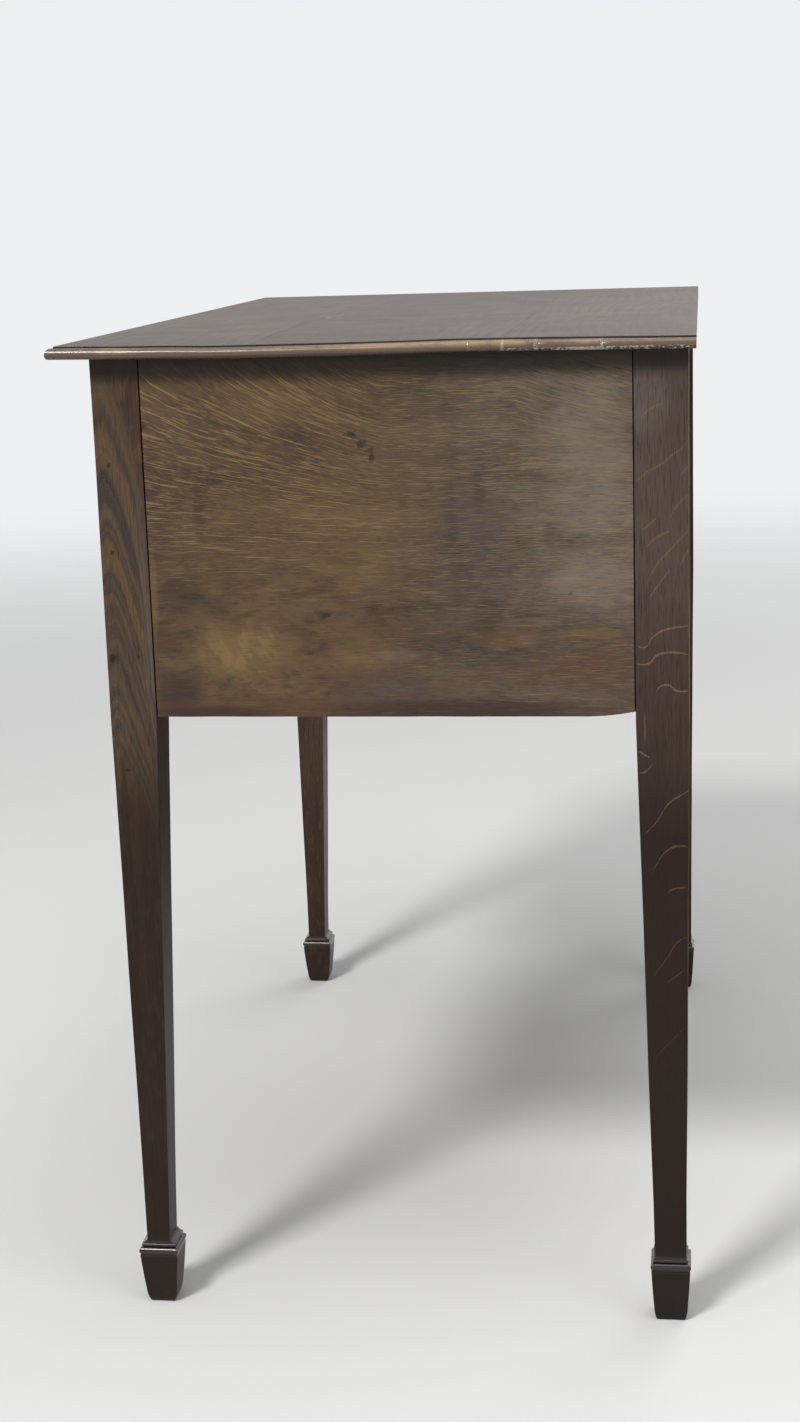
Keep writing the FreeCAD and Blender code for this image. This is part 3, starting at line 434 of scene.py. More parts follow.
rayLook = {
    "width": 0.0012, "upperWidth": 0.0004, "upper": (0.51, 0.56),
    # the strength of the rays by level: from, to, and the strengths there
    "fade": (0.51, 0.57, 0.56, 0.26), "lowFade": (0.2, 0.37, 0.4, 1.0),
    # middle, reach and strength; the first entries paint a grey sheen on the leg's upper part
    "sheen": (0.45, 0.6), "sheenShow": 0.24, "bloom": ((0.186, 0.675), (0.022, 0.03), 0.35),
    "scar": ((0.1852, 0.449), (0.0013, 0.014), 0.3),
    "lines": [   # each a line of places (y, z)
        ((0.1826, 0.6615), (0.1918, 0.6697), (0.1993, 0.6725)),
        ((0.1804, 0.6195), (0.1865, 0.6254), (0.1966, 0.6311), (0.2049, 0.6377), (0.2133, 0.6443),
         (0.2158, 0.6526)),
        ((0.2099, 0.6242), (0.2166, 0.6308)),
        ((0.1869, 0.5752), (0.193, 0.5811), (0.2031, 0.5863)),
        ((0.1846, 0.5872), (0.1947, 0.5956)),
        ((0.2031, 0.5955), (0.2082, 0.6039), (0.2157, 0.6106)),
        ((0.1867, 0.5487), (0.1928, 0.5614), (0.203, 0.5733), (0.2157, 0.5868)),
        ((0.1893, 0.5408), (0.1962, 0.5511), (0.203, 0.5596)),
        ((0.2097, 0.563), (0.2165, 0.5749)),
        ((0.1806, 0.5071), (0.1849, 0.506), (0.1909, 0.513), (0.1994, 0.5181), (0.2155, 0.5208)),
        ((0.1795, 0.4947), (0.1857, 0.4941), (0.1942, 0.5007), (0.2027, 0.5024), (0.2163, 0.5006)),
        ((0.193, 0.4709), (0.1999, 0.4797), (0.2078, 0.4754), (0.2154, 0.4754)),
        ((0.1806, 0.433), (0.185, 0.43), (0.1885, 0.4282)),
        ((0.1812, 0.4166), (0.1868, 0.419), (0.1902, 0.424)),
        ((0.184, 0.3722), (0.1919, 0.3804), (0.2023, 0.3959), (0.2092, 0.4006), (0.2161, 0.405)),
        ((0.1888, 0.3393), (0.1935, 0.3522), (0.2022, 0.3623), (0.2091, 0.3644), (0.2152, 0.3633)),
        ((0.2003, 0.3293), (0.2056, 0.333), (0.2143, 0.3337)),
        ((0.1895, 0.2669), (0.2001, 0.282), (0.2072, 0.2933), (0.2142, 0.2971)),
        ((0.2, 0.2633), (0.2124, 0.2729)),
        ((0.1891, 0.2044), (0.2123, 0.2296)),
    ],
}


def facing(wire, axis):              # how far a face looks along X or Y, -1 to 1
    normal = wire.node("ShaderNodeTexCoord", output="Normal")
    return wire.node("ShaderNodeSeparateXYZ", {0: normal}, output=axis)


def endFace(wire):                   # 1 on the faces that look along X, 0 on the others
    return facing(wire, "X").size().ease(0.6, 0.8)


def archGrain(x, y, z):
    look = archLook
    warp = grainNoise((x * 20.0, y * 60.0, z * 16.0))
    off = (y + (warp - 0.5) * look["warp"] - look["axisY"]).size()
    climb = (off * off + look["round"] ** 2).root() - look["round"]
    climb = climb * look["rise"] + off * off * look["curl"]
    climb = climb + (off - look["edgeFrom"]).most(0.0) * look["edge"]
    ragged = grainNoise((x * 20.0, y * 260.0, z * 70.0), 3.0, 0.65)
    start = z + climb + (ragged - 0.5) * look["ragged"]
    low, high = look["low"], look["high"]
    stops = [((place - low) / (high - low), (gold, gold, gold)) for place, gold in look["lines"]]
    gold = start.node("ShaderNodeValToRGB", {0: (start - low) / (high - low)}, stops=stops)
    hair = grainNoise((start * 900.0, y * 25.0, x * 20.0), 2.0, 0.6)
    return gold, hair, start.between(low, low + 0.03, high - 0.01, high + 0.03)


def archFigure(wire, place, look, colour):               # arched grain on the front leg
    arch = archLook
    x, y, z = place
    gold, hair, shown = archGrain(x, y, z)
    figured = (gold * 0.7 + hair.ease(0.3, 0.7) * 0.32 - 0.02).tint(look["slate"], look["golden"])
    colour = (shown * endFace(wire) * 0.95).tint(colour, figured)
    beside = y.ease(*arch["beside"]) * z.ease(*arch["besideRise"]) * z.ease(*arch["besideFade"])
    colour = (beside * (hair * 0.5 + 0.05)).tint(colour, look["bloom"])
    streaks = grainNoise((x * 20.0, y * 130.0, z * 26.0), 3.0, 0.6)
    outer = y.ease(*arch["outer"]) * z.ease(*arch["outerRise"]) * z.ease(*arch["outerFade"])
    colour = (outer * streaks.ease(0.45, 0.65) * 0.7).tint(colour, look["golden"])
    for centre, size in arch["knots"]:
        reach = [size * stretch for stretch in arch["knotReach"]]
        colour = (raggedSpot(y, z, centre, reach) * 0.8).tint(colour, look["deep"])
    spot, size = arch["peg"]
    return (raggedSpot(y, z, spot, (size, size)) * 0.5).tint(colour, look["peg"]), 0.0


def rayMark(first, second, line):
    start, end = line[0][0], line[-1][0]
    low, high = min(level for _, level in line), max(level for _, level in line)
    share = first.node("ShaderNodeMapRange", {0: first, 1: start, 2: end})
    curve = [((place - start) / (end - start), (level - low) / (high - low)) for place, level in line]
    middle = share.node("ShaderNodeFloatCurve", {"Value": share}, curve=curve) * (high - low) + low
    taper = share * (1 - share) * 4.0
    thick = second.ease(*rayLook["upper"]) * rayLook["upperWidth"] + rayLook["width"]
    width = (taper.least(1.0) * 0.6 + 0.4) * thick
    return (second - middle).size().ease(width, width * 0.2) * taper.ease(0.0, 0.1)


def rayFigure(wire, place, look, colour):                # pale rays on the back leg, and a painted grey sheen on its upper part
    _, y, z = place
    rays = 0.0
    for line in rayLook["lines"]:
        rays = rayMark(y, z, line).most(rays)
    worn = grainNoise((y * 300.0, z * 300.0, 0.0), 2.0, 0.6).ease(0.25, 0.6, 0.55, 1.0)
    rays = rays * endFace(wire) * z.ease(*rayLook["fade"]) * z.ease(*rayLook["lowFade"]) * worn
    # a painted grey sheen, growing upwards, with a stronger spot near the top
    soft = grainNoise((y * 40.0, z * 22.0, 0.0))
    centre, reach, amount = rayLook["bloom"]
    sheen = z.ease(*rayLook["sheen"]) * rayLook["sheenShow"] + softSpot(y, z, centre, reach) * amount
    colour = (endFace(wire) * sheen * (soft + 0.5)).tint(colour, look["bloom"])
    centre, reach, amount = rayLook["scar"]
    rays = rays.most(softSpot(y, z, centre, reach) * amount)
    return rays.tint(colour, look["pale"]), rays


def makeLegOak(name, axes, look, outward, figure=None, shift=0.0):
    # outward: the way that the leg's open face looks along Y
    material, wire, place = newMaterial(name)
    x, y, z = place
    along, across, through = alongAxes(place, axes)
    colour, height, gloss = oakColour(along + shift, across, through, look)
    colour, rays = figure(wire, place, look, colour) if figure else (colour, 0.0)
    fine = grainNoise((x * 1500.0, y * 1500.0, z * 70.0), 2.0, 0.6)
    colour = (fine.ease(0.5, 0.68) * 0.5).tint(colour, look["deep"])
    # painted shade: darker towards the floor, in a band under the top, and on the faces that look towards the
    # other legs
    low = (z.ease(*look["low"]) * look["lowDark"] + z.ease(*look["lowest"]) * 0.06) * (1 - rays * 0.9)
    colour = low.most(z.ease(*look["underTop"]) * 0.85).tint(colour, look["deep"])
    inner = (1 - endFace(wire)) * (facing(wire, "Y") * outward).ease(0.6, 0.2) * z.ease(*look["innerRise"])
    colour = (inner * look["innerDark"]).tint(colour, look["deep"])
    foot = z.ease(*look["foot"])
    colour = (foot * 0.45).tint(colour, look["deep"])
    bead = z.between(*look["bead"])                       # rubbed bright by shoes and brooms
    finishOak(wire, look, colour, height, gloss + inner * 0.35 - foot * 0.06 - bead * 0.14,
              coat=bead * 0.7 + foot * 0.1 + look["coat"] * (1 - inner) * (1 - low * 0.8))
    return material


# the end panels: one quarter-sawn board each, with the rays lying along it

panelLook = {
    "deep": rgb(0.01, 0.006, 0.004), "dark": rgb(0.034, 0.02, 0.014), "middle": rgb(0.094, 0.059, 0.036),
    "golden": rgb(0.16, 0.098, 0.04), "pale": rgb(0.33, 0.225, 0.092), "grey": rgb(0.215, 0.17, 0.132),
    "purple": rgb(0.06, 0.042, 0.04), "rust": rgb(0.092, 0.044, 0.024), "knot": rgb(0.016, 0.011, 0.012),
    "foot": 0.457, "roughness": 0.42, "coat": 0.06, "shine": 0.22, "bumpHeight": 0.0003,
    # scale along Y and upwards, offset in depth, detail and roughness
    "patterns": {
        "slow": (9.0, 14.0, 0.0, 3.0, 0.55), "mottle": (55.0, 90.0, 0.0, 2.0, 0.6),
        "planed": (75.0, 3.0, 0.0, 1.0, 0.5), "blush": (80.0, 150.0, 4.0, 2.0, 0.6),
    },
    "rowPatterns": {   # the same, but upwards by the grain's own level
        "broad": (4.0, 55.0, 7.0, 3.0, 0.55), "grain": (24.0, 620.0, 0.0, 3.0, 0.65),
        "dash": (210.0, 1500.0, 0.0, 1.0, 0.6), "fine": (90.0, 2000.0, 0.0, 2.0, 0.6),
        "groups": (12.0, 60.0, 2.0, 1.0, 0.5), "longFleck": (40.0, 1900.0, 3.0, 0.0, 0.5),
        "shortFleck": (85.0, 2000.0, 5.0, 0.0, 0.5),
    },
    # the grain's lines fan out towards the front in the upper part, and dip at the top's back corner
    "fan": 34.0, "fanAhead": 0.012, "fanAbove": 0.095, "fanRound": 0.02,
    "dip": 0.3, "dipFrom": 0.1, "dipRise": (0.17, 0.22), "sway": 0.007, "ripple": 0.0018,
    # zones: along Y, then by level above the bottom edge
    "frontUpper": ((0.06, -0.06), (0.05, 0.15)), "calm": ((0.05, -0.05), (0.15, 0.06)),
    "sheenBackEnd": ((0.04, 0.17), (0.03, 0.1)), "backward": (-0.04, 0.1), "low": (0.1, 0.05),
    # painted shadow under the top: two bands, each from, to and strength
    "goldenFront": (-0.18, -0.05, 0.45, 0.75), "shadeUnderTop": ((0.233, 0.2445, 0.76), (0.245, 0.251, 0.18)),
    "curlShow": 0.26, "waveHeight": 0.0015,
}


def panelRow(x, y, z, level, look):                      # the grain's own level
    ahead = (look["fanAhead"] - y).most(0.0)
    above = (level - look["fanAbove"]).most(0.0)
    fan = ahead * ahead / (ahead + look["fanRound"]) * above * look["fan"]
    rise = (y - look["dipFrom"]).most(0.0) * level.ease(*look["dipRise"]) * look["dip"]
    sway = grainNoise((y * 6.0, z * 14.0, x))
    ripple = grainNoise((y * 45.0, z * 70.0, x), 1.0)
    row = level - above * fan / (fan + 1) + rise
    return row + (sway - 0.5) * look["sway"] + (ripple - 0.5) * look["ripple"]


def makePanelOak(name, marks, shift):
    look = panelLook
    material, wire, (x, y, z) = newMaterial(name)
    x = x + shift
    level = z - look["foot"]
    row = panelRow(x, y, z, level, look)

    def patterns(table, upward):
        return [grainNoise((y * along, upward * across, x + depth if depth else x), detail, roughness)
                for along, across, depth, detail, roughness in table.values()]

    slow, mottle, planed, blush = patterns(look["patterns"], z)
    broad, grain, dash, fine, groups, longFleck, shortFleck = patterns(look["rowPatterns"], row)
    # the upper part in front, the blotchy corner low in front, and the back end, which gets a painted grey
    # sheen
    frontUpper, calm, sheenBackEnd = (y.ease(*look[zone][0]) * level.ease(*look[zone][1])
                                 for zone in ("frontUpper", "calm", "sheenBackEnd"))
    backward, low = y.ease(*look["backward"]), level.ease(*look["low"])
    bar = 0.735 - frontUpper * 0.055 - (groups - 0.5) * 0.1
    longMask = longFleck.ease(bar, bar + 0.05)
    bar = 0.66 - backward * 0.045 - (groups - 0.5) * 0.2 + low * 0.04 + calm * 0.08
    shortMask = shortFleck.ease(bar, bar + 0.08)
    streaky = 1 - calm * 0.85
    tone = slow.ease(0.3, 0.7) * 0.28 + broad.ease(0.32, 0.68) * (streaky * 0.3)
    tone = tone + planed.ease(0.3, 0.7) * 0.08 + grain.ease(0.3, 0.7) * (streaky * 0.14)
    tone = tone + mottle.ease(0.3, 0.7) * ((1 - streaky) * 0.4 + 0.12)
    tone = tone + (dash.ease(0.35, 0.65) - 0.5) * (streaky * 0.2 + 0.04)
    colour = tone.tint(look["dark"], look["middle"])
    colour = ((1 - backward) * tone * y.ease(*look["goldenFront"])).tint(colour, look["golden"])
    # a painted grey sheen towards the back, strongest at the back end
    colour = ((backward * 0.28 + sheenBackEnd * 0.4) * (mottle * 0.4 + tone * 0.8)).tint(colour, look["grey"])
    colour = (blush.ease(0.48, 0.62) * (low * 0.3 + 0.06)).tint(colour, look["rust"])
    colour = (blush.ease(0.46, 0.36) * (calm * 0.35 + 0.05)).tint(colour, look["dark"])
    # stains, and where the colour is grey, a painted sheen
    for centre, reach, amount, key in marks["stainsAndSheen"]:
        spot = softSpot(y, level, centre, reach) * (broad * 0.5 + mottle * 0.5 + 0.4)
        colour = (spot * amount).tint(colour, look[key])
    for centre, reach in marks["curls"]:                  # curly figure, as ripples of light and shade
        curl = grainNoise((y * 120.0 + z * 50.0, z * 80.0, x))
        spot = softSpot(y, level, centre, reach) * curl.ease(0.4, 0.7)
        colour = (spot * look["curlShow"]).tint(colour, look["pale"])
    golden = dash.ease(0.5, 0.72) * grain.ease(0.4, 0.6) * frontUpper
    colour = (golden * 0.45).tint(colour, look["golden"])
    flecks = (longMask * (frontUpper * 0.16 + 0.3)).most(shortMask * (0.32 - low * 0.14)) * (1 - calm * 0.5)
    colour = flecks.tint(colour, look["pale"])
    # painted shadow close under the top, where its overhang shades the panel
    broadShade, edgeShade = (level.ease(start, end) * amount for start, end, amount in look["shadeUnderTop"])
    colour = (broadShade + edgeShade).tint(colour, look["deep"])
    pores = fine.ease(0.56, 0.7)
    colour = (pores * 0.4).tint(colour, look["deep"])
    for centre, reach, amount in marks["knots"]:
        colour = (raggedSpot(y, level, centre, reach) * amount).tint(colour, look["knot"])
    height = grain * 0.4 - pores * 0.5 + flecks * 0.2
    waves = grainNoise((y * 22.0, z * 9.0, 0.0), 1.0)
    base = wire.node("ShaderNodeBump", {"Strength": 0.25, "Distance": look["waveHeight"], "Height": waves})
    gloss = slow * 0.14 + look["roughness"] - 0.08 + pores * 0.15 - flecks * 0.08
    finishOak(wire, look, colour, height, gloss, base)
    return material


rightMarks = {   # places are (y, level above the panel's bottom edge)
    "stainsAndSheen": [
        ((-0.0953, 0.0491), (0.048, 0.026), 0.75, "golden"),
        ((-0.0101, 0.1059), (0.028, 0.016), 0.5, "golden"),
        # the grey marks are painted sheen
        ((-0.0108, 0.0466), (0.026, 0.016), 0.6, "golden"), ((0.0159, 0.0444), (0.02, 0.007), 0.25, "grey"),
        ((0.1473, 0.0954), (0.038, 0.026), 0.55, "grey"), ((0.1483, 0.1782), (0.036, 0.07), 0.5, "grey"),
        ((-0.1585, 0.0917), (0.005, 0.048), 0.7, "golden"), ((-0.0783, 0.2168), (0.036, 0.02), 0.4, "golden"),
        ((0.148, 0.059), (0.03, 0.005), 0.7, "golden"), ((0.09, 0.056), (0.032, 0.0085), 0.5, "golden"),
        ((0.069, 0.13), (0.034, 0.085), 0.45, "purple"), ((0.0, 0.02), (0.05, 0.018), 0.5, "purple"),
        ((-0.1387, 0.0858), (0.024, 0.018), 0.45, "dark"), ((-0.1302, 0.0867), (0.014, 0.003), 0.4, "deep"),
        ((-0.1424, 0.0161), (0.022, 0.022), 0.9, "dark"), ((-0.085, 0.006), (0.09, 0.014), 0.8, "rust"),
        ((-0.12, 0.003), (0.06, 0.006), 0.9, "dark"), ((0.06, 0.004), (0.13, 0.012), 0.9, "dark"),
        ((0.0747, 0.1644), (0.006, 0.027), 0.4, "dark"), ((-0.159, 0.145), (0.03, 0.06), 0.35, "dark"),
        ((0.0534, 0.1372), (0.006, 0.04), 0.3, "dark"), ((0.0774, 0.0702), (0.014, 0.02), 0.4, "dark"),
        ((0.112, 0.0327), (0.04, 0.012), 0.45, "rust"), ((-0.1225, 0.1477), (0.005, 0.025), 0.5, "dark"),
        ((-0.0169, 0.1116), (0.02, 0.007), 0.4, "dark"), ((0.106, 0.072), (0.02, 0.003), 0.6, "dark"),
        ((0.15, 0.032), (0.03, 0.02), 0.5, "rust"), ((-0.03, 0.029), (0.03, 0.01), 0.4, "rust"),
    ],
    "curls": [((-0.0953, 0.0491), (0.046, 0.028))],
    "knots": [
        ((-0.0132, 0.1978), (0.0058, 0.0034), 0.8), ((-0.0065, 0.1916), (0.0048, 0.0032), 0.8),
        ((-0.0003, 0.1874), (0.0036, 0.0019), 0.75), ((0.0007, 0.1822), (0.0024, 0.0044), 0.8),
        ((-0.0347, 0.073), (0.0048, 0.0024), 0.8), ((-0.0989, 0.0816), (0.0032, 0.0013), 0.6),
        ((-0.1057, 0.0283), (0.003, 0.0046), 0.35), ((-0.036, 0.0166), (0.0034, 0.0012), 0.4),
        ((-0.005, 0.0158), (0.003, 0.0018), 0.35), ((0.0428, 0.0527), (0.0028, 0.0012), 0.4),
        ((0.1354, 0.0865), (0.0022, 0.0016), 0.45), ((0.1741, 0.046), (0.0028, 0.0012), 0.4),
        ((-0.1598, 0.2056), (0.0034, 0.003), 0.6),
    ],
}
leftMarks = {
    "stainsAndSheen": [
        # the grey mark is painted sheen
        ((0.06, 0.06), (0.06, 0.03), 0.8, "golden"), ((-0.07, 0.15), (0.06, 0.07), 0.2, "grey"),
        ((0.1, 0.18), (0.02, 0.04), 0.6, "dark"), ((-0.02, 0.008), (0.12, 0.01), 0.8, "rust"),
        ((-0.12, 0.03), (0.03, 0.02), 0.7, "dark"), ((0.02, 0.12), (0.01, 0.04), 0.5, "dark"),
    ],
    "curls": [((0.06, 0.06), (0.05, 0.026))],
    "knots": [((0.02, 0.11), (0.004, 0.0028), 0.6), ((-0.101, 0.052), (0.0026, 0.0014), 0.5)],
}

# brass handles

handleShape = {
    "face": -0.194, "axisY": -0.2055, "centres": 0.076,
    # the middles of each drawer's handles along X, and their level
    "drawers": {"long": ((-0.205, 0.205), 0.65955), "left": ((-0.2325,), 0.54005),
                "right": ((0.2325,), 0.54005)},
    # rings of the turned plate: distance out from the drawer, then radius
    "plateRows": [(0.0, 0.013), (0.0004, 0.0135), (0.0008, 0.0133), (0.001, 0.0126), (0.0008, 0.0121),
                  (0.001, 0.0117), (0.0014, 0.0113), (0.0015, 0.0107), (0.0012, 0.0101), (0.0007, 0.0095),
                  (0.0007, 0.0075), (0.0011, 0.0066), (0.0016, 0.006), (0.0018, 0.0052), (0.0018, 0.0036)],
    "neckRows": [(0.0016, 0.0046), (0.0023, 0.0046), (0.0027, 0.004), (0.0036, 0.0031), (0.0056, 0.0029),
                 (0.0067, 0.0034), (0.0071, 0.0036)],
    "ballRadius": 0.0052, "ballTip": 0.0002, "ballAngles": (-42, 90, 12),
    "pinRadius": 0.0015, "pinTip": 0.0395, "pinRoot": 0.044, "rootArris": 0.0004, "rootRadius": 0.0019,
    "plateSides": 56, "postSides": 32, "wireSides": 12,
    # the bail's bends: radius, degrees and thickness of the wire; its bar: place along X and thickness
    "bends": [(0.0055, 130.0, 0.0021), (0.011, 65.0, 0.0018), (0.005, 115.0, 0.0021)], "bendStep": 13.0,
    "bar": [(0.026, 0.0021), (0.01, 0.0023)],
}

# the drawer fronts: dirt gathers round the plates and inside the bead, and hands have rubbed the rest

frontWear = {
    "rubbed": rgb(0.125, 0.072, 0.036), "bare": rgb(0.2, 0.13, 0.07), "face": (-0.189, -0.192),
    "plateOut": 0.038, "dirtReach": (0.0225, 0.0225), "dirt": 0.75, "edgeDirt": 0.55, "edge": (0.011, 0.0),
    "grooveDirt": 0.85, "groove": (0.0011, 0.0003), "handDown": 0.008, "handReach": (0.085, 0.055),
    "hand": 0.55, "knockDown": 0.0275, "knockReach": (0.03, 0.002), "knock": 0.35, "beadWidth": 0.003,
    "bead": 0.45, "beadIn": (-0.0006, -0.0012), "beadOut": (-0.1946, -0.1953),
}


def makeFrontOak(drawer, middles, level):
    look, wear = frontOakLook, frontWear
    material, wire, (x, y, z) = newMaterial(f"{drawer} drawer front oak")
    colour, height, gloss = oakColour(x + level * 3.0, z, y, look)
    low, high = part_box(drawer + "_drawer_front")
    middle, half = (low + high) / 2, (high - low) / 2
    inset = (half.x - (x - middle.x).size()).least(half.z - (z - middle.z).size()) - wear["beadWidth"]
    onFace = y.ease(*wear["face"])
    patch = grainNoise((x * 26.0, z * 40.0, y * 20.0), 3.0, 0.6)
    dirt = inset.ease(*wear["edge"]) * (patch * 0.6 + 0.4) * wear["edgeDirt"]
    dirt = dirt.most(inset.size().ease(*wear["groove"]) * wear["grooveDirt"])
    hand, knock = 0.0, 0.0
    for place in middles:
        spot = softSpot(x, z, (place, level - wear["handDown"]), wear["handReach"])
        hand = (spot * patch.ease(0.36, 0.6)).most(hand)
        knock = softSpot(x, z, (place, level - wear["knockDown"]), wear["knockReach"]).most(knock)
        fromPlate = (x - place).size() - wear["plateOut"]
        dirt = dirt.most(softSpot(fromPlate, z, (0.0, level), wear["dirtReach"]) * wear["dirt"])
    colour = (onFace * hand * wear["hand"]).tint(colour, wear["rubbed"])
    colour = (onFace * knock * patch.ease(0.4, 0.55) * wear["knock"]).tint(colour, wear["bare"])
    colour = (onFace * dirt).tint(colour, look["deep"])
    bead = inset.ease(*wear["beadIn"]) * y.ease(*wear["beadOut"]) * patch.ease(0.42, 0.62)
    colour = (bead * wear["bead"]).tint(colour, wear["bare"])
    finishOak(wire, look, colour, height, gloss + onFace * (dirt * 0.12 - hand * 0.05))
    return material


brassLook = {
    "bright": rgb(0.53, 0.36, 0.145), "worn": rgb(0.3, 0.19, 0.075), "tarnish": rgb(0.07, 0.042, 0.022),
    "roughness": 0.34, "clouds": 90.0, "specks": 700.0, "bumpHeight": 0.0002,
}
steelLook = {
    "clean": rgb(0.36, 0.35, 0.34), "rust": rgb(0.14, 0.07, 0.035), "roughness": 0.45, "clouds": 260.0,
}


def makeBrass(name, look):
    material, wire, place = newMaterial(name)
    cloud = grainNoise([part * look["clouds"] for part in place], 4.0, 0.6)
    speck = grainNoise([part * look["specks"] for part in place])
    colour = cloud.ease(0.35, 0.7).tint(look["bright"], look["worn"])
    dirt = (cloud.ease(0.5, 0.75) * 0.6 + speck.ease(0.55, 0.75) * 0.5).least(1.0)
    colour = dirt.tint(colour, look["tarnish"])
    bump = {"Strength": 0.2, "Distance": look["bumpHeight"], "Height": speck + cloud}
    finishMaterial(wire, {"Base Color": colour, "Metallic": 1 - dirt * 0.5,
                          "Roughness": dirt * 0.3 + look["roughness"],
                          "Normal": wire.node("ShaderNodeBump", bump)})
    return material


def makeSteel(name, look):
    material, wire, place = newMaterial(name)
    rust = grainNoise([part * look["clouds"] for part in place], 3.0, 0.6).ease(0.42, 0.62)
    finishMaterial(wire, {"Base Color": rust.tint(look["clean"], look["rust"]), "Metallic": 1 - rust * 0.8,
                          "Roughness": rust * 0.35 + look["roughness"]})
    return material


finishes = {
    "panelRight": makePanelOak("end panel oak", rightMarks, 4.0),
    "panelLeft": makePanelOak("far end panel oak", leftMarks, 9.0),
    "topFront": makeTopOak("top oak, front board", 0.0, rgb(0.07, 0.039, 0.022)),
    "topMiddle": makeTopOak("top oak, middle board", 1.3, rgb(0.061, 0.035, 0.02)),
    "topBack": makeTopOak("top oak, back board", 2.9, rgb(0.076, 0.04, 0.022)),
    "legFrontRight": makeLegOak("right front leg oak", "zxy", legOakLook, -1.0, archFigure),
    "legBackRight": makeLegOak("right back leg oak", "zyx", backLegOakLook, 1.0, rayFigure),
    "legFrontLeft": makeLegOak("left front leg oak", "zxy", farLegOakLook, -1.0, shift=2.0),
    "legBackLeft": makeLegOak("left back leg oak", "zyx", farLegOakLook, 1.0, shift=5.0),
    "rail": makeOak("rail oak", railOakLook, "xzy"),
    "backBoard": makeOak("back board oak", backOakLook, "xzy", 6.0),
    "upright": makeOak("muntin oak", railOakLook, "zxy"),
    "liningLong": makeOak("lining oak, lengthwise", liningOakLook, "yzx"),
    "liningCross": makeOak("lining oak, crosswise", liningOakLook, "xzy"),
    "liningBottom": makeOak("drawer bottom oak", liningOakLook, "xyz", 3.0),
    "innerLong": makeOak("rough oak, lengthwise", innerOakLook, "yxz"),
    "innerCross": makeOak("rough oak, crosswise", innerOakLook, "xzy"),
    "brass": makeBrass("aged brass", brassLook),
    "steel": makeSteel("old screw steel", steelLook),
}
for drawer, (middles, level) in handleShape["drawers"].items():
    finishes["front" + drawer.capitalize()] = makeFrontOak(drawer, middles, level)
print("finishes made:", len(finishes))

nodeFinish = {   # by the start of a node's name
    "top_board": "topFront", "top_screws": "steel", "leg_front": "legFrontLeft", "leg_back": "legBackLeft",
    "end_panel_left": "panelLeft", "end_panel_right": "panelRight", "back_board": "backBoard",
    "top_rail": "rail", "mid_rail": "rail", "bottom_rail": "rail", "muntin": "upright", "apron": "rail",
    "partition": "innerLong", "bearer": "innerLong", "long_runner": "innerLong", "short_runner": "innerLong",
    "kicker": "innerLong", "glue_blocks": "innerCross", "drawer_stops": "innerCross",
}
drawerFinish = {
    "side": "liningLong", "back": "liningCross", "bottom": "liningBottom",
    "plates": "brass", "posts": "brass", "nuts": "brass", "bail": "brass",
}


def finishOf(name):
    drawer, _, piece = name.partition("_drawer_")
    if piece == "front":
        return "front" + drawer.capitalize()
    table, name = (drawerFinish, piece) if piece else (nodeFinish, name)
    return next(table[key] for key in table if name.startswith(key))


def dress(thing, material):
    if not thing.data.materials:
        thing.data.materials.append(material)
    for slot in thing.material_slots:
        slot.link = "OBJECT"
        slot.material = material


for nodeName, nodeObject in nodes.items():
    dress(nodeObject, finishes[finishOf(nodeName)])
print("nodes dressed")


# modelling by hand

def makeActive(thing):
    clearSelection()
    thing.select_set(True)
    bpy.context.view_layer.objects.active = thing


def openForEditing(thing):
    makeActive(thing)
    bpy.ops.object.mode_set(mode="EDIT")


def closeEditing():
    bpy.ops.object.mode_set(mode="OBJECT")


def keepNew(name):                   # names the new primitive and puts its place into its mesh
    piece = bpy.context.object
    piece.name = piece.data.name = name
    bpy.ops.object.transform_apply(location=True, rotation=True, scale=True)
    return piece


def pick(thing, kind, test):         # selects the faces or edges that pass a test
    bpy.ops.mesh.select_mode(type={"faces": "FACE", "edges": "EDGE"}[kind])
    bpy.ops.mesh.select_all(action="DESELECT")
    mesh = bmesh.from_edit_mesh(thing.data)
    for item in getattr(mesh, kind):
        item.select_set(bool(test(item)))
    mesh.select_flush_mode()
    bmesh.update_edit_mesh(thing.data)


def near(value, wanted):
    return abs(value - wanted) < 0.00004


def bothAt(edge, axis, wanted):      # both ends of an edge are at this place along an axis
    return all(near(corner.co[axis], wanted) for corner in edge.verts)


def addBlock(name, low, high):
    clearSelection()
    bpy.ops.mesh.primitive_cube_add(size=1.0, location=[(start + end) / 2 for start, end in zip(low, high)])
    bpy.context.object.scale = [end - start for start, end in zip(low, high)]
    return keepNew(name)


def cutAcross(axis, places):         # extra edge loops, so that a piece can be bent or worn
    normal = [float(number == axis) for number in range(3)]
    for place in places:
        bpy.ops.mesh.select_all(action="SELECT")
        bpy.ops.mesh.bisect(plane_co=[place * part for part in normal], plane_no=normal)


def bevelPicked(offset, segments):
    bpy.ops.mesh.bevel(offset=offset, segments=segments, affect="EDGES")


def drawOut(shift):
    bpy.ops.mesh.extrude_region_move(TRANSFORM_OT_translate={"value": shift})


def scaleRing(ratios, centre):
    bpy.ops.transform.resize(value=ratios, center_override=centre)


def smoothStep(value, low, high):
    share = min(1.0, max(0.0, (value - low) / (high - low)))
    return share * share * (3 - 2 * share)


def evenly(low, high, steps):        # the places between two ends
    return [low + (high - low) * step / steps for step in range(1, steps)]


